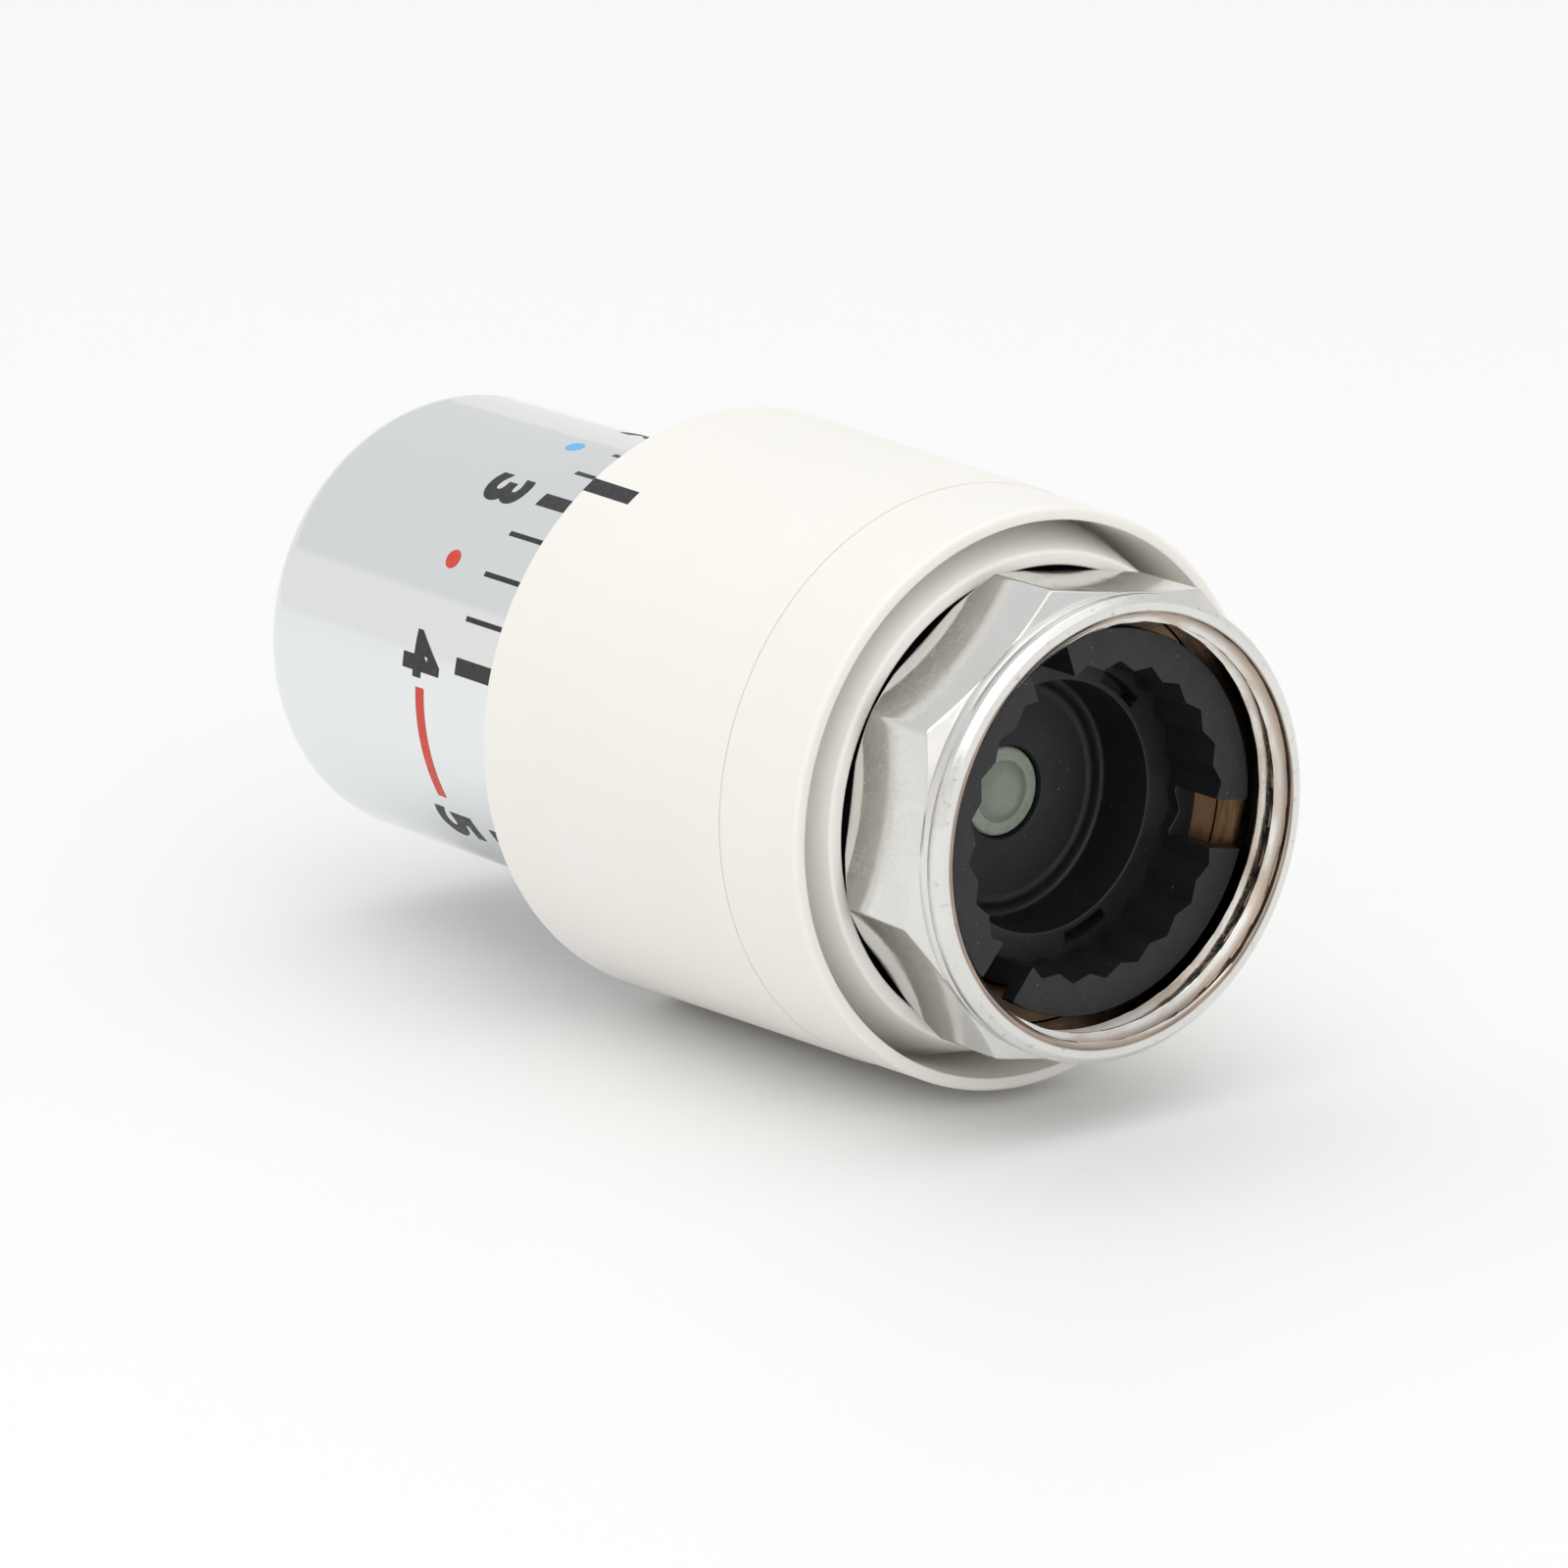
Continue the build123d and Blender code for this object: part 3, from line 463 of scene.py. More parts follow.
# ---------------------------------------------------------------- union nut
NUT_FLATS = 8
NUT_FIRST_CORNER = -14.5
NUT_COLUMNS = NUT_FLATS * 72
NUT_EDGE = 0.12
NUT_SHARP_ANGLE = 38
COLLAR_STANDS_OUT = 0.1
COLLAR_BEVEL = 0.45
COLLAR_RIM = 1.9
CONE_END = 2.7
GROOVE_START = 1.02
GROOVE_WALL = 0.05
GROOVE_END = 1.2
GROOVE_DEPTH = 0.035
REAR_CHAMFER = 1.1
LIP_THICKNESS = 1.5
CORNER_SHARPNESS = 700
NEAR_FLAT = 0.7
CLOSE_ROW = 0.04
CLOSE_ROWS = 26
WIDE_ROWS = 12
WIDE_ROWS_START = 3.0
WIDE_ROWS_SHORT = 0.2
THREAD_START = 0.04
MOUTH_EDGE = 0.06
MOUTH_R = THREAD_ROOT_R - 0.2
THREAD_PITCH = 1.5
THREAD_FLANK = 60.0
THREAD_CREST_FLAT = 0.14
THREAD_CREST_AT = 0.95
THREAD_CREST_ANGLE = 60.0
THREAD_END = 3.35
THREAD_FADE = 0.5
THREAD_ROW = 0.045


def nut_flat_radius():
    """Distance of the nut's flats from the axis."""
    return NUT_CORNER_R * math.cos(math.pi / NUT_FLATS)


def collar_radius():
    """Radius of the round collar at the nut's mouth."""
    return nut_flat_radius() + COLLAR_STANDS_OUT


def turned_radius(depth):
    """Radius of the blank that the flats are milled on: collar, cone, full bar and rear chamfer."""
    share = (depth - COLLAR_RIM) / (CONE_END - COLLAR_RIM)
    front = collar_radius() + (NUT_CORNER_R - collar_radius()) * min(max(share, 0.0), 1.0)
    return min(front, NUT_CORNER_R - REAR_CHAMFER + NUT_REAR - depth)


def milled_radius(depth, angle):
    """Radius of the milled nut: the nearest flat or the blank, with a softened edge between them."""
    turned = turned_radius(depth)
    inverse = 1.0
    for flat in range(NUT_FLATS):
        middle = NUT_FIRST_CORNER + (flat + 0.5) * 360.0 / NUT_FLATS
        facing = math.cos(math.radians(angle - middle))
        if facing > NEAR_FLAT:
            inverse += (facing * turned / nut_flat_radius()) ** CORNER_SHARPNESS
    return turned * inverse ** (-1 / CORNER_SHARPNESS)


def thread_radius(depth, angle):
    """Radius of the nut's internal right-hand thread."""
    crest = THREAD_CREST_AT + THREAD_PITCH * gap_to(angle, THREAD_CREST_ANGLE) / 360.0
    away = abs(math.remainder(depth - crest, THREAD_PITCH)) - THREAD_CREST_FLAT / 2
    height = (THREAD_ROOT_R - THREAD_R) - max(away, 0.0) * math.tan(math.radians(THREAD_FLANK))
    fade_out = min(max((THREAD_END - depth) / THREAD_FADE, 0.0), 1.0)
    return max(THREAD_ROOT_R - max(height, 0.0) * fade_out, MOUTH_R - depth)


def mouth_rows():
    """Rows of the nut's rounded inner edge, front face and collar, with a fine turned groove."""
    collar = collar_radius()
    rows = [lambda angle: (THREAD_START, thread_radius(THREAD_START, angle))]
    rows.append(lambda angle: (NUT_FRONT, thread_radius(THREAD_START, angle) + MOUTH_EDGE))
    return rows + rounded([
        (NUT_FRONT, THREAD_ROOT_R + 0.1, 0.0),
        (NUT_FRONT, collar - COLLAR_BEVEL, 0.12),
        (COLLAR_BEVEL, collar, 0.15),
        (GROOVE_START, collar, 0.0),
        (GROOVE_START + GROOVE_WALL, collar - GROOVE_DEPTH, 0.0),
        (GROOVE_END - GROOVE_WALL, collar - GROOVE_DEPTH, 0.0),
        (GROOVE_END, collar, 0.0),
        (COLLAR_RIM - 0.15, collar, 0.0),
    ])


def flat_rows():
    """Rows over the flats, close together where the flats run into the cone and the rear chamfer."""
    chamfer = NUT_REAR - REAR_CHAMFER
    wide_row = (chamfer - WIDE_ROWS_SHORT - WIDE_ROWS_START) / WIDE_ROWS
    cuts = [COLLAR_RIM + CLOSE_ROW * step for step in range(CLOSE_ROWS)]
    cuts += [WIDE_ROWS_START + wide_row * step for step in range(WIDE_ROWS)]
    cuts += [chamfer + CLOSE_ROW * (step - 1) for step in range(CLOSE_ROWS)]
    cuts += [NUT_REAR - NUT_EDGE]
    rows = [lambda angle, depth=depth: (depth, milled_radius(depth, angle)) for depth in cuts]
    edge_middle = NUT_EDGE / 4
    rows.append(lambda angle: (NUT_REAR - edge_middle, milled_radius(NUT_REAR, angle) - edge_middle))
    rows.append(lambda angle: (NUT_REAR, milled_radius(NUT_REAR, angle) - NUT_EDGE))
    return rows


def bore_rows():
    """Rows of the nut's rear lip, bore and thread, from the rear back to the mouth."""
    lip = NUT_REAR - LIP_THICKNESS
    rows = rounded([
        (NUT_REAR, NUT_LIP_R, NUT_EDGE),
        (lip, NUT_LIP_R, NUT_EDGE),
        (lip, THREAD_ROOT_R, 0.2),
        (THREAD_END + 0.2, THREAD_ROOT_R, 0.0),
    ])
    count = int((THREAD_END - 2 * THREAD_START) / THREAD_ROW)
    cuts = [THREAD_END - THREAD_ROW * step for step in range(count)]
    return rows + [lambda angle, depth=depth: (depth, thread_radius(depth, angle)) for depth in cuts]


def make_union_nut():
    vertices, faces = skin(mouth_rows() + flat_rows() + bore_rows(), NUT_COLUMNS)
    finish = FINISHES["chromed_nut"]
    nut = finish_mesh("nut_body", vertices, faces, finish, "union_nut", NUT_SHARP_ANGLE)
    stands_for("union_nut")


# ---------------------------------------------------------------- valve socket
TOOTH_COUNT = 24
TOOTH_FIRST_ROOT = 10.0
TOOTH_ROOT_R = SOCKET_RING_R - 2.3
TOOTH_TIP_R = TOOTH_ROOT_R - 0.6
SOCKET_BARREL_R = SOCKET_RING_R - 1.0
SOCKET_RING_END = SOCKET_FACE + 1.3
SOCKET_LEDGE = SOCKET_FACE + 5.1
SLOT_END = SOCKET_LEDGE - 0.9
CUP_FLOOR = SOCKET_LEDGE + 4.7
SOCKET_END = CUP_FLOOR + 1.5
SLOT_WIDTH = 3.4
SLOT_ANGLES = [100.0, 220.0, 340.0]
POCKET_ANGLES = [40.0, 160.0, 280.0]
POCKET_HALF_SWEEP = 10.0
POCKET_INNER_R = 9.17
POCKET_OUTER_R = 10.07
POCKET_DEPTH = 1.2
POCKET_END_SLOPE = 0.8
POCKET_WALL = 0.04
LEDGE_EDGE = 0.08
SOCKET_EDGE = 0.06
SOCKET_EDGE_STEPS = 3
SOCKET_SHARP_ANGLE = 35
SOCKET_COLUMNS = 480
RING_CORNER = 0.15
SLOT_CORNER = 0.10
TOOTH_CORNER = 0.12
TOOTH_FREE_OF_SLOT = 1.2
SECTOR_STEPS = 60
RIDGE_INNER_R = 7.1
RIDGE_WIDTH = 1.1
RIDGE_HEIGHT = 0.12
RIDGE_STEPS = 14
EMBEDDED = 0.05


def tooth_radius(angle):
    """Radius of the serrated bore at an angle."""
    step = 360.0 / TOOTH_COUNT
    share = abs(gap_to(angle, TOOTH_FIRST_ROOT) % step / step - 0.5) * 2
    return TOOTH_TIP_R + (TOOTH_ROOT_R - TOOTH_TIP_R) * share


def slot_wall_angle(slot, side, radius):
    """Angle at which a slot's straight wall meets a radius."""
    return slot + side * math.degrees(math.asin(SLOT_WIDTH / 2 / radius))


def spot_on_plan(radius, angle, fillet):
    """Corner of an outline across the axis, as (y, z, fillet)."""
    turn = math.radians(angle)
    return radius * math.sin(turn), radius * math.cos(turn), fillet


def sector_plan(outer_radius, start_slot, end_slot):
    """Outline across the axis of the toothed wall between two slots, as (y, z) points."""
    first = slot_wall_angle(start_slot, 1, outer_radius)
    last = slot_wall_angle(end_slot, -1, outer_radius)
    corners = []
    for step in range(SECTOR_STEPS + 1):
        fillet = RING_CORNER if step in (0, SECTOR_STEPS) else 0.0
        angle = first + (last - first) * step / SECTOR_STEPS
        corners.append(spot_on_plan(outer_radius, angle, fillet))
    middle_r = (TOOTH_TIP_R + TOOTH_ROOT_R) / 2
    inner_first = slot_wall_angle(start_slot, 1, middle_r)
    inner_last = slot_wall_angle(end_slot, -1, middle_r)
    corners.append(spot_on_plan(tooth_radius(inner_last), inner_last, SLOT_CORNER))
    for index in reversed(range(-4 * TOOTH_COUNT, 4 * TOOTH_COUNT)):
        angle = TOOTH_FIRST_ROOT + index * 180.0 / TOOTH_COUNT
        if inner_first + TOOTH_FREE_OF_SLOT < angle < inner_last - TOOTH_FREE_OF_SLOT:
            corners.append(spot_on_plan(tooth_radius(angle), angle, TOOTH_CORNER))
    corners.append(spot_on_plan(tooth_radius(inner_first), inner_first, SLOT_CORNER))
    return rounded(corners, 3)


def inset_plan(plan, amount):
    """The same outline moved inwards by an amount."""
    moved = []
    for index, (a, b) in enumerate(plan):
        before = Vector(plan[index - 1])
        after = Vector(plan[(index + 1) % len(plan)])
        along = (after - before).normalized()
        moved.append((a - along.y * amount, b + along.x * amount))
    return moved


def toothed_sector(start_slot, end_slot):
    """Closed prism of the toothed wall between two slots, with a rounded front edge."""
    wide = sector_plan(SOCKET_RING_R, start_slot, end_slot)
    narrow = sector_plan(SOCKET_BARREL_R, start_slot, end_slot)
    area = sum(a[0] * b[1] - b[0] * a[1] for a, b in zip(wide, wide[1:] + wide[:1]))
    sign = 1 if area > 0 else -1
    levels = []
    for step in range(SOCKET_EDGE_STEPS + 1):
        turn = math.pi / 2 * step / SOCKET_EDGE_STEPS
        depth = SOCKET_FACE + SOCKET_EDGE * (1 - math.cos(turn))
        inset = SOCKET_EDGE * (1 - math.sin(turn))
        levels.append((depth, inset_plan(wide, sign * inset)))
    levels.append((SOCKET_RING_END, wide))
    levels.append((SOCKET_RING_END, narrow))
    levels.append((SLOT_END + EMBEDDED, narrow))
    count = len(wide)
    vertices = [(-depth * MM, a * MM, b * MM) for depth, plan in levels for a, b in plan]
    faces = [list(range(count)), list(range(len(vertices) - count, len(vertices)))]
    for level in range(len(levels) - 1):
        for index in range(count):
            beside = (index + 1) % count
            low = level * count
            faces.append([low + index, low + beside, low + count + beside, low + count + index])
    return vertices, faces


def pocket_mask(angle):
    """1 inside a moulded pocket, 0 outside, with a short slope at its ends."""
    nearest = min(abs(gap_to(angle, centre)) for centre in POCKET_ANGLES)
    return min(max((POCKET_HALF_SWEEP - nearest) / POCKET_END_SLOPE + 0.5, 0.0), 1.0)


def floor_ridge():
    """Corners of the low rounded ring on the cup's floor."""
    corners = []
    for step in range(RIDGE_STEPS + 1):
        share = step / RIDGE_STEPS
        height = RIDGE_HEIGHT * (1 - math.cos(math.tau * share)) / 2
        corners.append((CUP_FLOOR - height, RIDGE_INNER_R + RIDGE_WIDTH * share, 0.0))
    return corners


def pocket_rows():
    """Rows across the moulded pockets in the ledge, each a radius and a share of the pocket's depth."""
    shares = {
        POCKET_INNER_R: 0.0,
        POCKET_INNER_R + POCKET_WALL: 1.0,
        POCKET_OUTER_R - POCKET_WALL: 1.0,
        POCKET_OUTER_R: 0.0,
        POCKET_OUTER_R + LEDGE_EDGE: 0.0,
    }
    return [
        lambda angle, r=radius, s=share: (SOCKET_LEDGE + s * POCKET_DEPTH * pocket_mask(angle), r)
        for radius, share in shares.items()
    ]


def tooth_rows():
    """Rows of the teeth behind the slots, from the ledge forward, as depths and steps off the teeth."""
    offsets = [
        (SOCKET_LEDGE, -LEDGE_EDGE),
        (SOCKET_LEDGE, 0.0),
        (SOCKET_LEDGE - SOCKET_EDGE, 0.0),
        (SLOT_END + SOCKET_EDGE, 0.0),
        (SLOT_END + SOCKET_EDGE / 2, SOCKET_EDGE / 2),
        (SLOT_END, SOCKET_EDGE),
    ]
    return [lambda angle, d=depth, o=offset: (d, tooth_radius(angle) + o) for depth, offset in offsets]


def socket_body_rows():
    """Rows of the socket behind the slots: barrel, guide tube, cup, ledge with pockets, and teeth."""
    outside = rounded([
        (SLOT_END, SOCKET_BARREL_R, 0.1),
        (SOCKET_END, SOCKET_BARREL_R, 0.2),
        (SOCKET_END, GUIDE_TUBE_R, 0.3),
        (GUIDE_END, GUIDE_TUBE_R, 0.15),
        (GUIDE_END, GUIDE_R, 0.1),
        (CUP_FLOOR, GUIDE_R, 0.15),
    ] + floor_ridge() + [
        (CUP_FLOOR, CUP_R, 0.35),
        (SOCKET_LEDGE, CUP_R, 0.12),
        (SOCKET_LEDGE, POCKET_INNER_R - LEDGE_EDGE, 0.0),
    ])
    return outside + pocket_rows() + tooth_rows()


def make_valve_socket():
    slots = SLOT_ANGLES + [SLOT_ANGLES[0] + 360.0]
    sectors = [toothed_sector(first, last) for first, last in zip(slots, slots[1:])]
    vertices, faces = joined(skin(socket_body_rows(), SOCKET_COLUMNS), *sectors)
    finish = FINISHES["black_plastic"]
    socket = finish_mesh("socket_body", vertices, faces, finish, "base", SOCKET_SHARP_ANGLE)
    stands_for("valve_socket")


# ---------------------------------------------------------------- push pin
PIN_CUP_R = 2.2
PIN_CUP_DEPTH = 0.95
PIN_FLANGE_DEPTH = GUIDE_END + 4.6
PIN_FLANGE_THICKNESS = 1.2
PIN_CUP_STEPS = 8
ROD_SOCKET_DEPTH = 3.0


def make_push_pin():
    corners = []
    for step in range(PIN_CUP_STEPS + 1):
        turn = math.pi / 2 * step / PIN_CUP_STEPS
        corners.append((PIN_FACE + PIN_CUP_DEPTH * math.cos(turn), PIN_CUP_R * math.sin(turn), 0.0))
    corners += [
        (PIN_FACE, PIN_R, 0.3),
        (PIN_FLANGE_DEPTH, PIN_R, 0.2),
        (PIN_FLANGE_DEPTH, PIN_FLANGE_R, 0.15),
        (PIN_FLANGE_DEPTH + PIN_FLANGE_THICKNESS, PIN_FLANGE_R, 0.15),
        (PIN_FLANGE_DEPTH + PIN_FLANGE_THICKNESS, PIN_R, 0.2),
        (PIN_END, PIN_R, 0.2),
        (PIN_END, ROD_R, 0.0),
        (PIN_END - ROD_SOCKET_DEPTH, ROD_R, 0.0),
        (PIN_END - ROD_SOCKET_DEPTH, 0.0, 0.0),
    ]
    pin = lathe("pin_body", corners, FINISHES["pin_plastic"], "actuator", 128)
    stands_for("push_pin")


# ---------------------------------------------------------------- white covers
SLEEVE_WALL = 1.3
SLEEVE_REAR_WALL = 1.6
COLLAR_STEP = 0.09
SLEEVE_EDGE = 0.45
SLEEVE_SEAT_LENGTH = 4.0
JOINT_GAP = 0.02
SKIRT_WALL = 1.0
SKIRT_SEAT_LENGTH = 2.8
COVER_COLUMNS = 320


def sleeve_rear_radius():
    """Outer radius of the tapered sleeve at its rear face, carried on past its rounded edge."""
    depth, radius = max(outline_points("outer_sleeve"), key=lambda point: point[1])
    slope = (radius - SLEEVE_FRONT_R) / (depth - SLEEVE_FRONT)
    return SLEEVE_FRONT_R + slope * (SLEEVE_END - SLEEVE_FRONT)


def sleeve_radius(depth):
    """Outer radius of the tapered sleeve at a depth."""
    share = (depth - SLEEVE_FRONT) / (SLEEVE_END - SLEEVE_FRONT)
    return SLEEVE_FRONT_R + share * (sleeve_rear_radius() - SLEEVE_FRONT_R)


def make_outer_sleeve():
    inner_rear = SLEEVE_END - SLEEVE_REAR_WALL
    sleeve = lathe("sleeve_shell", [
        (SLEEVE_FRONT, SLEEVE_FRONT_BORE_R, 0.1),
        (SLEEVE_FRONT, SLEEVE_FRONT_R, 0.06),
        (SLEEVE_END, sleeve_rear_radius(), SLEEVE_EDGE),
        (SLEEVE_END, SLEEVE_OPENING_R, 0.25),
        (inner_rear, SLEEVE_OPENING_R, 0.15),
        (inner_rear, sleeve_radius(inner_rear) - SLEEVE_WALL, 0.4),
        (SLEEVE_FRONT + SLEEVE_SEAT_LENGTH, SLEEVE_FRONT_BORE_R, 0.0),
    ], FINISHES["white_plastic"], "base", COVER_COLUMNS, 6)
    stands_for("outer_sleeve")


def make_front_collar():
    rim = sleeve_radius(COLLAR_FACE) - COLLAR_STEP
    shoulder = SLEEVE_FRONT - JOINT_GAP
    spigot_inner = COLLAR_SPIGOT_R[0]
    spigot_outer = COLLAR_SPIGOT_R[1] - JOINT_GAP
    collar = lathe("collar_shell", [
        (COLLAR_FACE, COLLAR_RIM_INNER_R, 0.12),
        (COLLAR_FACE, rim, 0.38),
        (shoulder, sleeve_radius(SLEEVE_FRONT) - COLLAR_STEP, 0.1),
        (shoulder, spigot_outer, 0.1),
        (COLLAR_SPIGOT_END, spigot_outer, 0.2),
        (COLLAR_SPIGOT_END, spigot_inner, 0.2),
        (SKIRT_BASE, spigot_inner, 0.2),
        (SKIRT_BASE, COLLAR_RIM_INNER_R, 0.1),
    ], FINISHES["white_plastic"], "base", COVER_COLUMNS, 5)
    stands_for("front_collar")


def make_inner_skirt():
    skirt = lathe("skirt_shell", [
        (SKIRT_LIP, SKIRT_LIP_R, 0.15),
        (SKIRT_LIP, SKIRT_LIP_R + SKIRT_WALL, 0.35),
        (SKIRT_BASE, SKIRT_BASE_R - JOINT_GAP, 0.0),
        (SKIRT_BASE, SKIRT_SEAT_R, 0.0),
        (SKIRT_BASE - SKIRT_SEAT_LENGTH, SKIRT_SEAT_R, 0.2),
        (SKIRT_LIP + SKIRT_WALL, SKIRT_LIP_R, 0.3),
    ], FINISHES["white_plastic"], "base", COVER_COLUMNS, 5)
    stands_for("inner_skirt")


# ---------------------------------------------------------------- hand wheel
WHEEL_END_WALL = 1.5
WHEEL_END_FILLET = 2.4
CAP_DISH_DEPTH = 0.12
CAP_RIM = 1.6
CAP_SLOPE = 0.4


def make_hand_wheel():
    wheel = lathe("wheel_shell", [
        (WHEEL_START, WHEEL_BORE_R, 0.2),
        (WHEEL_START, WHEEL_R, 0.4),
        (WHEEL_END, WHEEL_R, WHEEL_END_FILLET),
        (WHEEL_END, CAP_R, 0.2),
        (WHEEL_END - WHEEL_END_WALL, CAP_R, 0.0),
        (WHEEL_END - WHEEL_END_WALL, WHEEL_BORE_R, 0.0),
    ], FINISHES["chromed_plastic"], "hand_wheel", COVER_COLUMNS, 10)
    stands_for("hand_wheel")


def make_end_cap():
    dish = CAP_END - CAP_DISH_DEPTH
    cap = lathe("wheel_end_cap", [
        (CAP_START, 0.0, 0.0),
        (CAP_START, CAP_R, 0.0),
        (CAP_END, CAP_R, 0.35),
        (CAP_END, CAP_R - CAP_RIM, 0.3),
        (dish, CAP_R - CAP_RIM - CAP_SLOPE, 0.3),
        (dish, 0.0, 0.0),
    ], FINISHES["chromed_plastic"], "hand_wheel", 256, 5)
    stands_for("end_cap")


# ---------------------------------------------------------------- printed scale and index mark
INK_STANDS_OUT = 0.02
INK_SUNK = 0.05
REST_SETTING = 3.06
DEGREES_PER_NUMBER = 48.0
INDEX_ANGLE = -34.3
NUMBERS = 6
TICKS_PER_NUMBER = 4
FINE_TICKS_UP_TO = 4
NUMBER_TICK_WIDTH = 1.25
FINE_TICK_WIDTH = 0.4
TICK_START = 46.0
TICK_END = 54.2
DIGIT_DEPTH = 58.3
DIGIT_HEIGHT = 4.4
DIGIT_STRETCH = 1.12
DIGIT_STRIP = 0.3
DIGIT_BOLDNESS = 0.042
STAR_HEIGHT = 2.2
STAR_NUMBER = 0.5
DOT_R = 0.74
DOT_POINTS = 32
DOT_RINGS = 4
RED_DOT_ANGLE = -54.3
BLUE_DOT_ANGLE = -8.9
ARC_FRONT = 57.8
ARC_REAR = 58.8
ARC_FIRST_ANGLE = -118.0
ARC_LAST_ANGLE = -87.8
ARC_COLUMNS = 48
MARK_LENGTH = 5.4
MARK_WIDTH = 1.26
MARK_SHORT_OF_END = 0.08
MARK_ROWS = 60


def scale_angle(number):
    """Angle of a number on the hand wheel at rest."""
    return INDEX_ANGLE + (REST_SETTING - number) * DEGREES_PER_NUMBER


def patch(start, end, angle, width, radius_at, columns=6, rows=1):
    """Thin closed pad on a turned surface, between two depths, centred on an angle."""
    middle_r = radius_at((start + end) / 2)
    half = math.degrees(width / 2 / middle_r)
    vertices = []
    for rise in (INK_STANDS_OUT, -INK_SUNK):
        for row in range(rows + 1):
            depth = start + (end - start) * row / rows
            for column in range(columns + 1):
                turn = angle - half + 2 * half * column / columns
                vertices.append(place(depth, radius_at(depth) + rise, turn))
    wide = columns + 1
    layer = wide * (rows + 1)
    faces = []
    for base in (0, layer):
        for row in range(rows):
            for column in range(columns):
                low = base + row * wide + column
                faces.append([low, low + 1, low + wide + 1, low + wide])
    rim = list(range(wide))
    rim += [row * wide + columns for row in range(1, rows + 1)]
    rim += [rows * wide + column for column in reversed(range(columns))]
    rim += [row * wide for row in reversed(range(1, rows))]
    for here, after in zip(rim, rim[1:] + rim[:1]):
        faces.append([here, after, after + layer, here + layer])
    return vertices, faces


def on_wheel(depth):
    """Radius under a printed patch on the hand wheel, the same at every depth."""
    return WHEEL_R


def make_ticks():
    pads = []
    for step in range((NUMBERS - 1) * TICKS_PER_NUMBER + 1):
        angle = scale_angle(step / TICKS_PER_NUMBER)
        if step % TICKS_PER_NUMBER == 0:
            pads.append(patch(TICK_START, TICK_END, angle, NUMBER_TICK_WIDTH, on_wheel))
        elif step < FINE_TICKS_UP_TO * TICKS_PER_NUMBER:
            pads.append(patch(TICK_START, TICK_END, angle, FINE_TICK_WIDTH, on_wheel))
    vertices, faces = joined(*pads)
    finish_mesh("scale_ticks", vertices, faces, BLACK_INK, "hand_wheel")


def flat_sign(text, boldness):
    """Thick flat mesh of a sign in the built-in font, at the font's own size."""
    curve = bpy.data.curves.new("sign", "FONT")
    curve.body = text
    curve.offset = boldness
    curve.extrude = 0.5
    curve.resolution_u = 6
    letter = bpy.data.objects.new("sign", curve)
    bpy.context.scene.collection.objects.link(letter)
    shown = bpy.context.evaluated_depsgraph_get()
    shown.update()
    mesh = bpy.data.meshes.new_from_object(letter.evaluated_get(shown))
    bpy.data.objects.remove(letter)
    return mesh


def sign_on_wheel(text, number, height, boldness):
    """Vertices and faces of one printed sign, cut into strips and wrapped round the hand wheel."""
    work = bmesh.new()
    work.from_mesh(flat_sign(text, boldness))
    bmesh.ops.remove_doubles(work, verts=work.verts, dist=1e-5)
    low = Vector([min(v.co[axis] for v in work.verts) for axis in range(3)])
    high = Vector([max(v.co[axis] for v in work.verts) for axis in range(3)])
    scale = height / (high.y - low.y)
    middle = (low + high) / 2
    strips = int((high.x - low.x) * scale / DIGIT_STRIP)
    for strip in range(1, strips):
        x = low.x + (high.x - low.x) * strip / strips
        everything = work.verts[:] + work.edges[:] + work.faces[:]
        bmesh.ops.bisect_plane(work, geom=everything, plane_co=(x, 0, 0), plane_no=(1, 0, 0))
    vertices = []
    for vertex in work.verts:
        across = (vertex.co.x - middle.x) * scale * DIGIT_STRETCH
        along = (vertex.co.y - middle.y) * scale
        rise = INK_STANDS_OUT if vertex.co.z > middle.z else -INK_SUNK
        angle = scale_angle(number) - math.degrees(across / WHEEL_R)
        vertices.append(place(DIGIT_DEPTH - along, WHEEL_R + rise, angle))
    work.verts.index_update()
    faces = [[vertex.index for vertex in face.verts] for face in work.faces]
    work.free()
    return vertices, faces


def make_numbers():
    signs = [sign_on_wheel("*", STAR_NUMBER, STAR_HEIGHT, 0.0)]
    for number in range(NUMBERS):
        signs.append(sign_on_wheel(str(number), number, DIGIT_HEIGHT, DIGIT_BOLDNESS))
    vertices, faces = joined(*signs)
    finish_mesh("scale_numbers", vertices, faces, BLACK_INK, "hand_wheel")


def make_dot(name, angle, material):
    """Round printed dot on the hand wheel."""
    vertices = []
    for rise in (INK_STANDS_OUT, -INK_SUNK):
        vertices.append(place(DIGIT_DEPTH, WHEEL_R + rise, angle))
        for ring in range(1, DOT_RINGS + 1):
            reach = DOT_R * ring / DOT_RINGS
            for point in range(DOT_POINTS):
                turn = math.tau * point / DOT_POINTS
                depth = DIGIT_DEPTH + reach * math.cos(turn)
                aside = math.degrees(reach * math.sin(turn) / WHEEL_R)
                vertices.append(place(depth, WHEEL_R + rise, angle + aside))
    layer = 1 + DOT_RINGS * DOT_POINTS
    edge = layer - DOT_POINTS
    faces = []
    for point in range(DOT_POINTS):
        beside = (point + 1) % DOT_POINTS
        for base in (0, layer):
            faces.append([base, base + 1 + point, base + 1 + beside])
            for ring in range(DOT_RINGS - 1):
                low = base + 1 + ring * DOT_POINTS
                high = low + DOT_POINTS
                faces.append([low + point, high + point, high + beside, low + beside])
        faces.append([edge + point, edge + beside, edge + layer + beside, edge + layer + point])
    finish_mesh(name, vertices, faces, material, "hand_wheel")


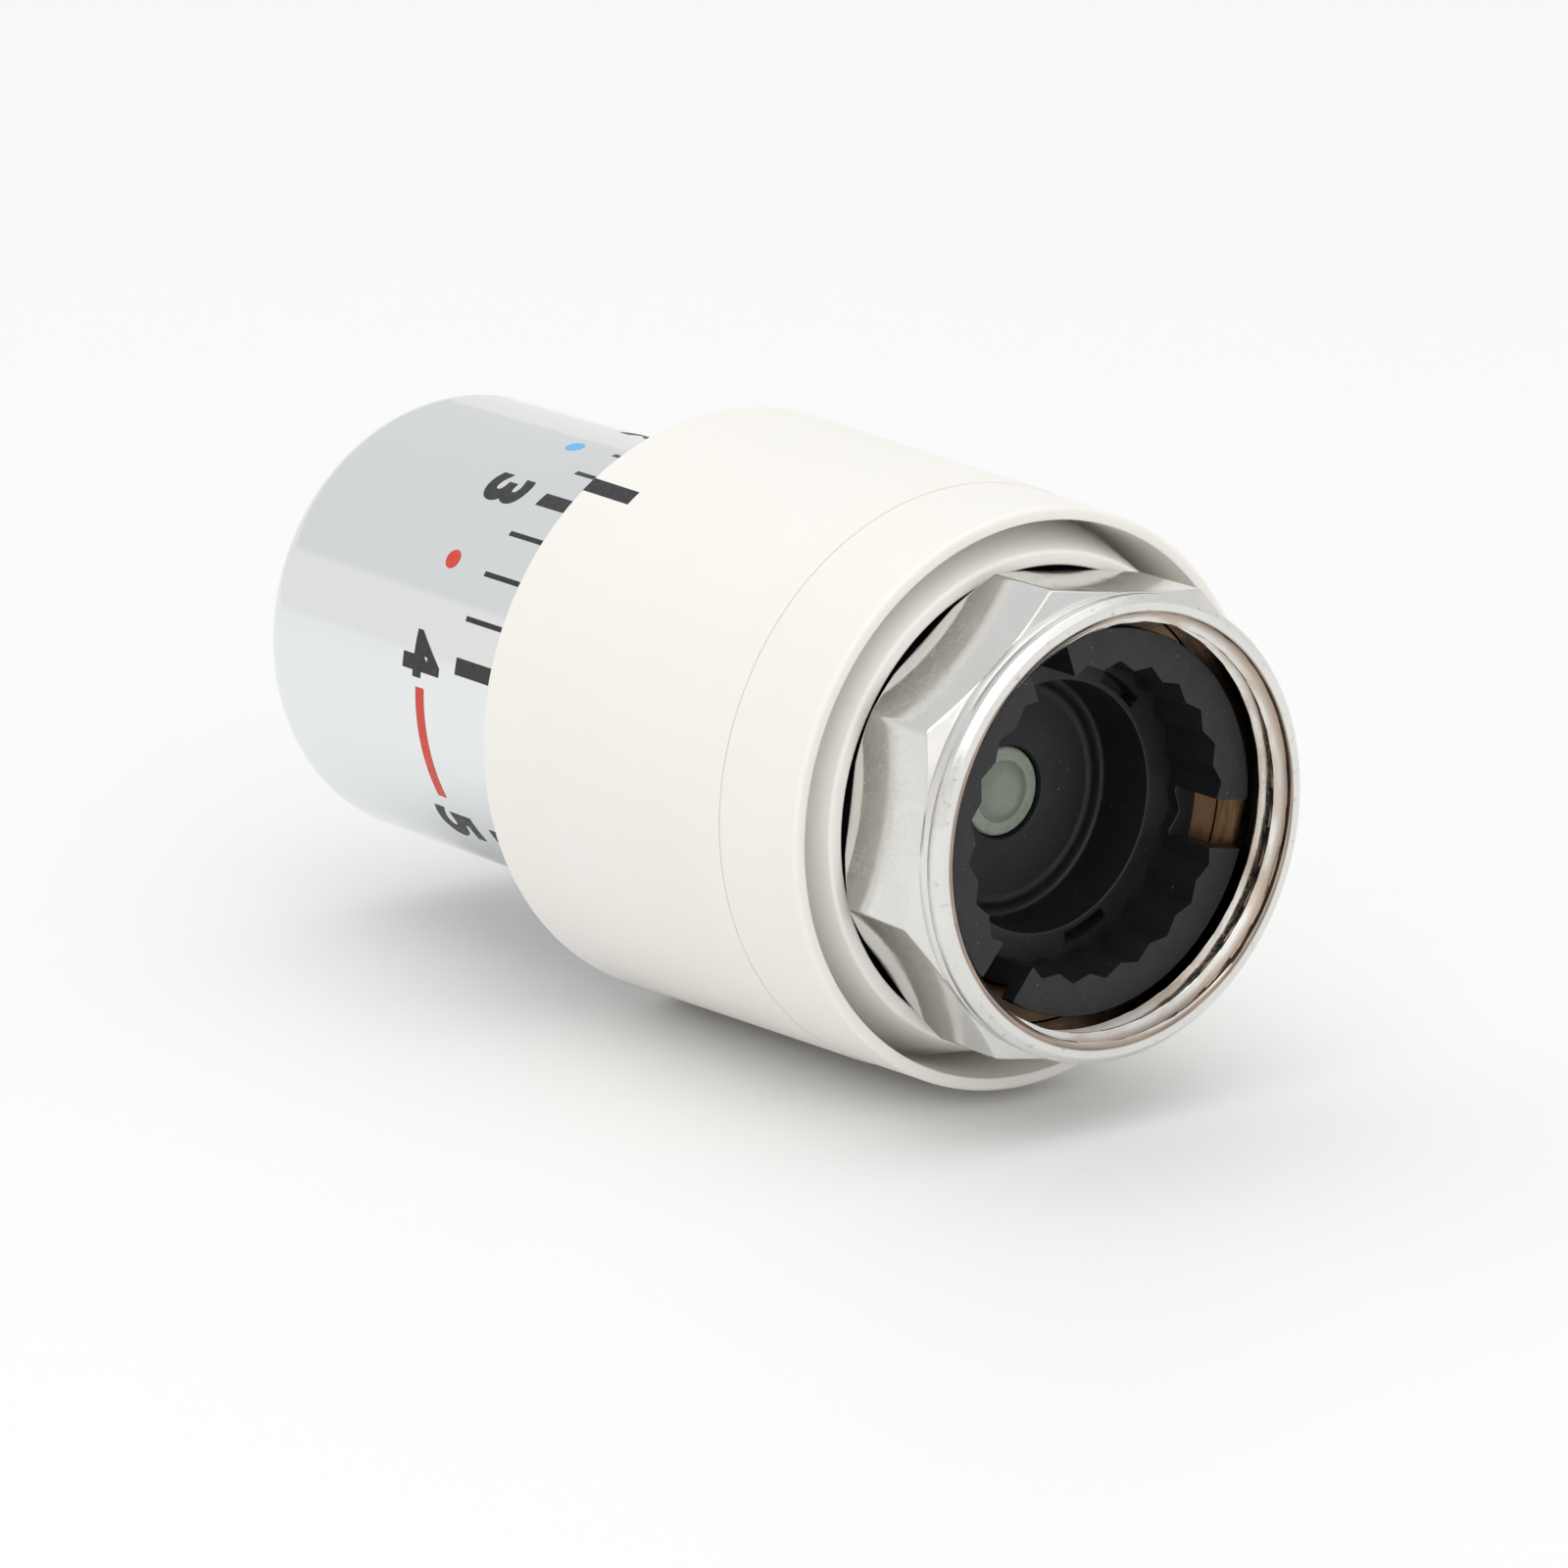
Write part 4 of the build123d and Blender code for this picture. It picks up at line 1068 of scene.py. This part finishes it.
def make_comfort_marks():
    """The red and the blue dot, and the red arc between 4 and 5."""
    make_dot("red_dot", RED_DOT_ANGLE, RED_INK)
    make_dot("blue_dot", BLUE_DOT_ANGLE, BLUE_INK)
    width = math.radians(ARC_LAST_ANGLE - ARC_FIRST_ANGLE) * WHEEL_R
    middle = (ARC_FIRST_ANGLE + ARC_LAST_ANGLE) / 2
    vertices, faces = patch(ARC_FRONT, ARC_REAR, middle, width, on_wheel, ARC_COLUMNS)
    finish_mesh("red_arc", vertices, faces, RED_INK, "hand_wheel")


def marked_radius(depth):
    """Radius under the index mark, which runs on over the sleeve's rounded rear edge."""
    over = max(depth - (SLEEVE_END - SLEEVE_EDGE), 0.0)
    drop = SLEEVE_EDGE - math.sqrt(max(SLEEVE_EDGE ** 2 - over ** 2, 0.0))
    return sleeve_radius(depth) - drop


def make_index_mark():
    start = SLEEVE_END - MARK_LENGTH
    end = SLEEVE_END - MARK_SHORT_OF_END
    vertices, faces = patch(start, end, INDEX_ANGLE, MARK_WIDTH, marked_radius, rows=MARK_ROWS)
    finish_mesh("index_mark", vertices, faces, BLACK_INK, "base")


# ---------------------------------------------------------------- stage, light and camera
CAMERA_TARGET = (-14.6, -17.5, 3.1)
CAMERA_AZIMUTH = 52.15
CAMERA_ELEVATION = 15.28
CAMERA_DISTANCE = 525.0
CAMERA_LENS = 180.0
FLOOR_RADIUS = 3000.0
FLOOR_POINTS = 96
LOW_BAND = (0.90, 0.885, 0.865)
WALLS = (0.79, 0.805, 0.805)
CEILING = (1.34, 1.34, 1.33)
WALLS_FROM = (16.0, 17.5)
CEILING_FROM = (46.0, 62.0)


def toward(azimuth, elevation):
    """Unit vector from the object towards a viewing direction; azimuth 0 looks along +Y."""
    a = math.radians(azimuth)
    e = math.radians(elevation)
    return Vector((math.sin(a) * math.cos(e), -math.cos(a) * math.cos(e), math.sin(e)))


def aim(thing, direction):
    """Point an object's -Z axis along a direction, with its +Y up."""
    thing.rotation_euler = direction.to_track_quat("-Z", "Y").to_euler()


def make_camera():
    camera = bpy.data.objects.new("camera", bpy.data.cameras.new("camera"))
    bpy.context.scene.collection.objects.link(camera)
    camera.data.lens = CAMERA_LENS
    camera.data.sensor_width = 36.0
    camera.data.clip_start = 0.01
    camera.data.clip_end = 20.0
    back = toward(CAMERA_AZIMUTH, CAMERA_ELEVATION)
    camera.location = (Vector(CAMERA_TARGET) + back * CAMERA_DISTANCE) * MM
    aim(camera, -back)
    bpy.context.scene.camera = camera


def make_floor():
    """Wide pale floor under the lowest point of the head."""
    lowest = CAD_BOX[0][2]
    turns = [math.tau * point / FLOOR_POINTS for point in range(FLOOR_POINTS)]
    reach = FLOOR_RADIUS * MM
    rim = [(reach * math.sin(turn), reach * math.cos(turn), lowest) for turn in turns]
    mesh = bpy.data.meshes.new("floor")
    mesh.from_pydata(rim, [], [list(range(FLOOR_POINTS))])
    material, tree, where = new_material("floor", 0.0, 0.6)
    colour = mixed(tree, noise(tree, where, 400.0, 1.0), (0.88, 0.88, 0.88), (0.90, 0.90, 0.90))
    tree.links.new(colour, shader_of(material).inputs["Base Color"])
    mesh.materials.append(material)
    floor = bpy.data.objects.new("floor", mesh)
    bpy.context.scene.collection.objects.link(floor)


def softbox(name, azimuth, elevation, distance, size, power, colour=(1.0, 1.0, 1.0)):
    """Square area light that faces the object."""
    light = bpy.data.lights.new(name, "AREA")
    light.shape = "SQUARE"
    light.size = size * MM
    light.energy = power
    light.color = colour
    lamp = bpy.data.objects.new(name, light)
    bpy.context.scene.collection.objects.link(lamp)
    direction = toward(azimuth, elevation)
    lamp.location = direction * distance * MM
    aim(lamp, -direction)


def rising(tree, height, elevations):
    """0 below the first elevation and 1 above the second, for a direction's height."""
    low, high = [math.sin(math.radians(elevation)) for elevation in elevations]
    return spread(tree, height, low, high)


def make_world():
    """Even studio surround: a warm band near the horizon, cooler walls and a bright ceiling."""
    world = bpy.data.worlds.new("studio")
    world.use_nodes = True
    tree = world.node_tree
    background = tree.nodes["Background"]
    direction = tree.nodes.new("ShaderNodeTexCoord").outputs["Generated"]
    height = add_node(tree, "ShaderNodeSeparateXYZ", {"Vector": direction}).outputs["Z"]
    around = mixed(tree, rising(tree, height, WALLS_FROM), LOW_BAND, WALLS)
    colour = mixed(tree, rising(tree, height, CEILING_FROM), around, CEILING)
    tree.links.new(colour, background.inputs["Color"])
    background.inputs["Strength"].default_value = 1.0
    bpy.context.scene.world = world


def make_stage():
    make_camera()
    make_floor()
    make_world()
    softbox("key", azimuth=45.0, elevation=50.0, distance=1300.0, size=1200.0, power=2.7)
    warm = (1.0, 0.95, 0.88)
    softbox("front", azimuth=75.0, elevation=30.0, distance=1300.0, size=1000.0, power=1.1, colour=warm)
    bpy.context.scene.view_settings.view_transform = "Standard"


# ---------------------------------------------------------------- everything
dress_frame()
make_union_nut()
make_valve_socket()
make_push_pin()
make_outer_sleeve()
make_front_collar()
make_inner_skirt()
make_hand_wheel()
make_end_cap()
make_ticks()
make_numbers()
make_comfort_marks()
make_index_mark()
make_stage()
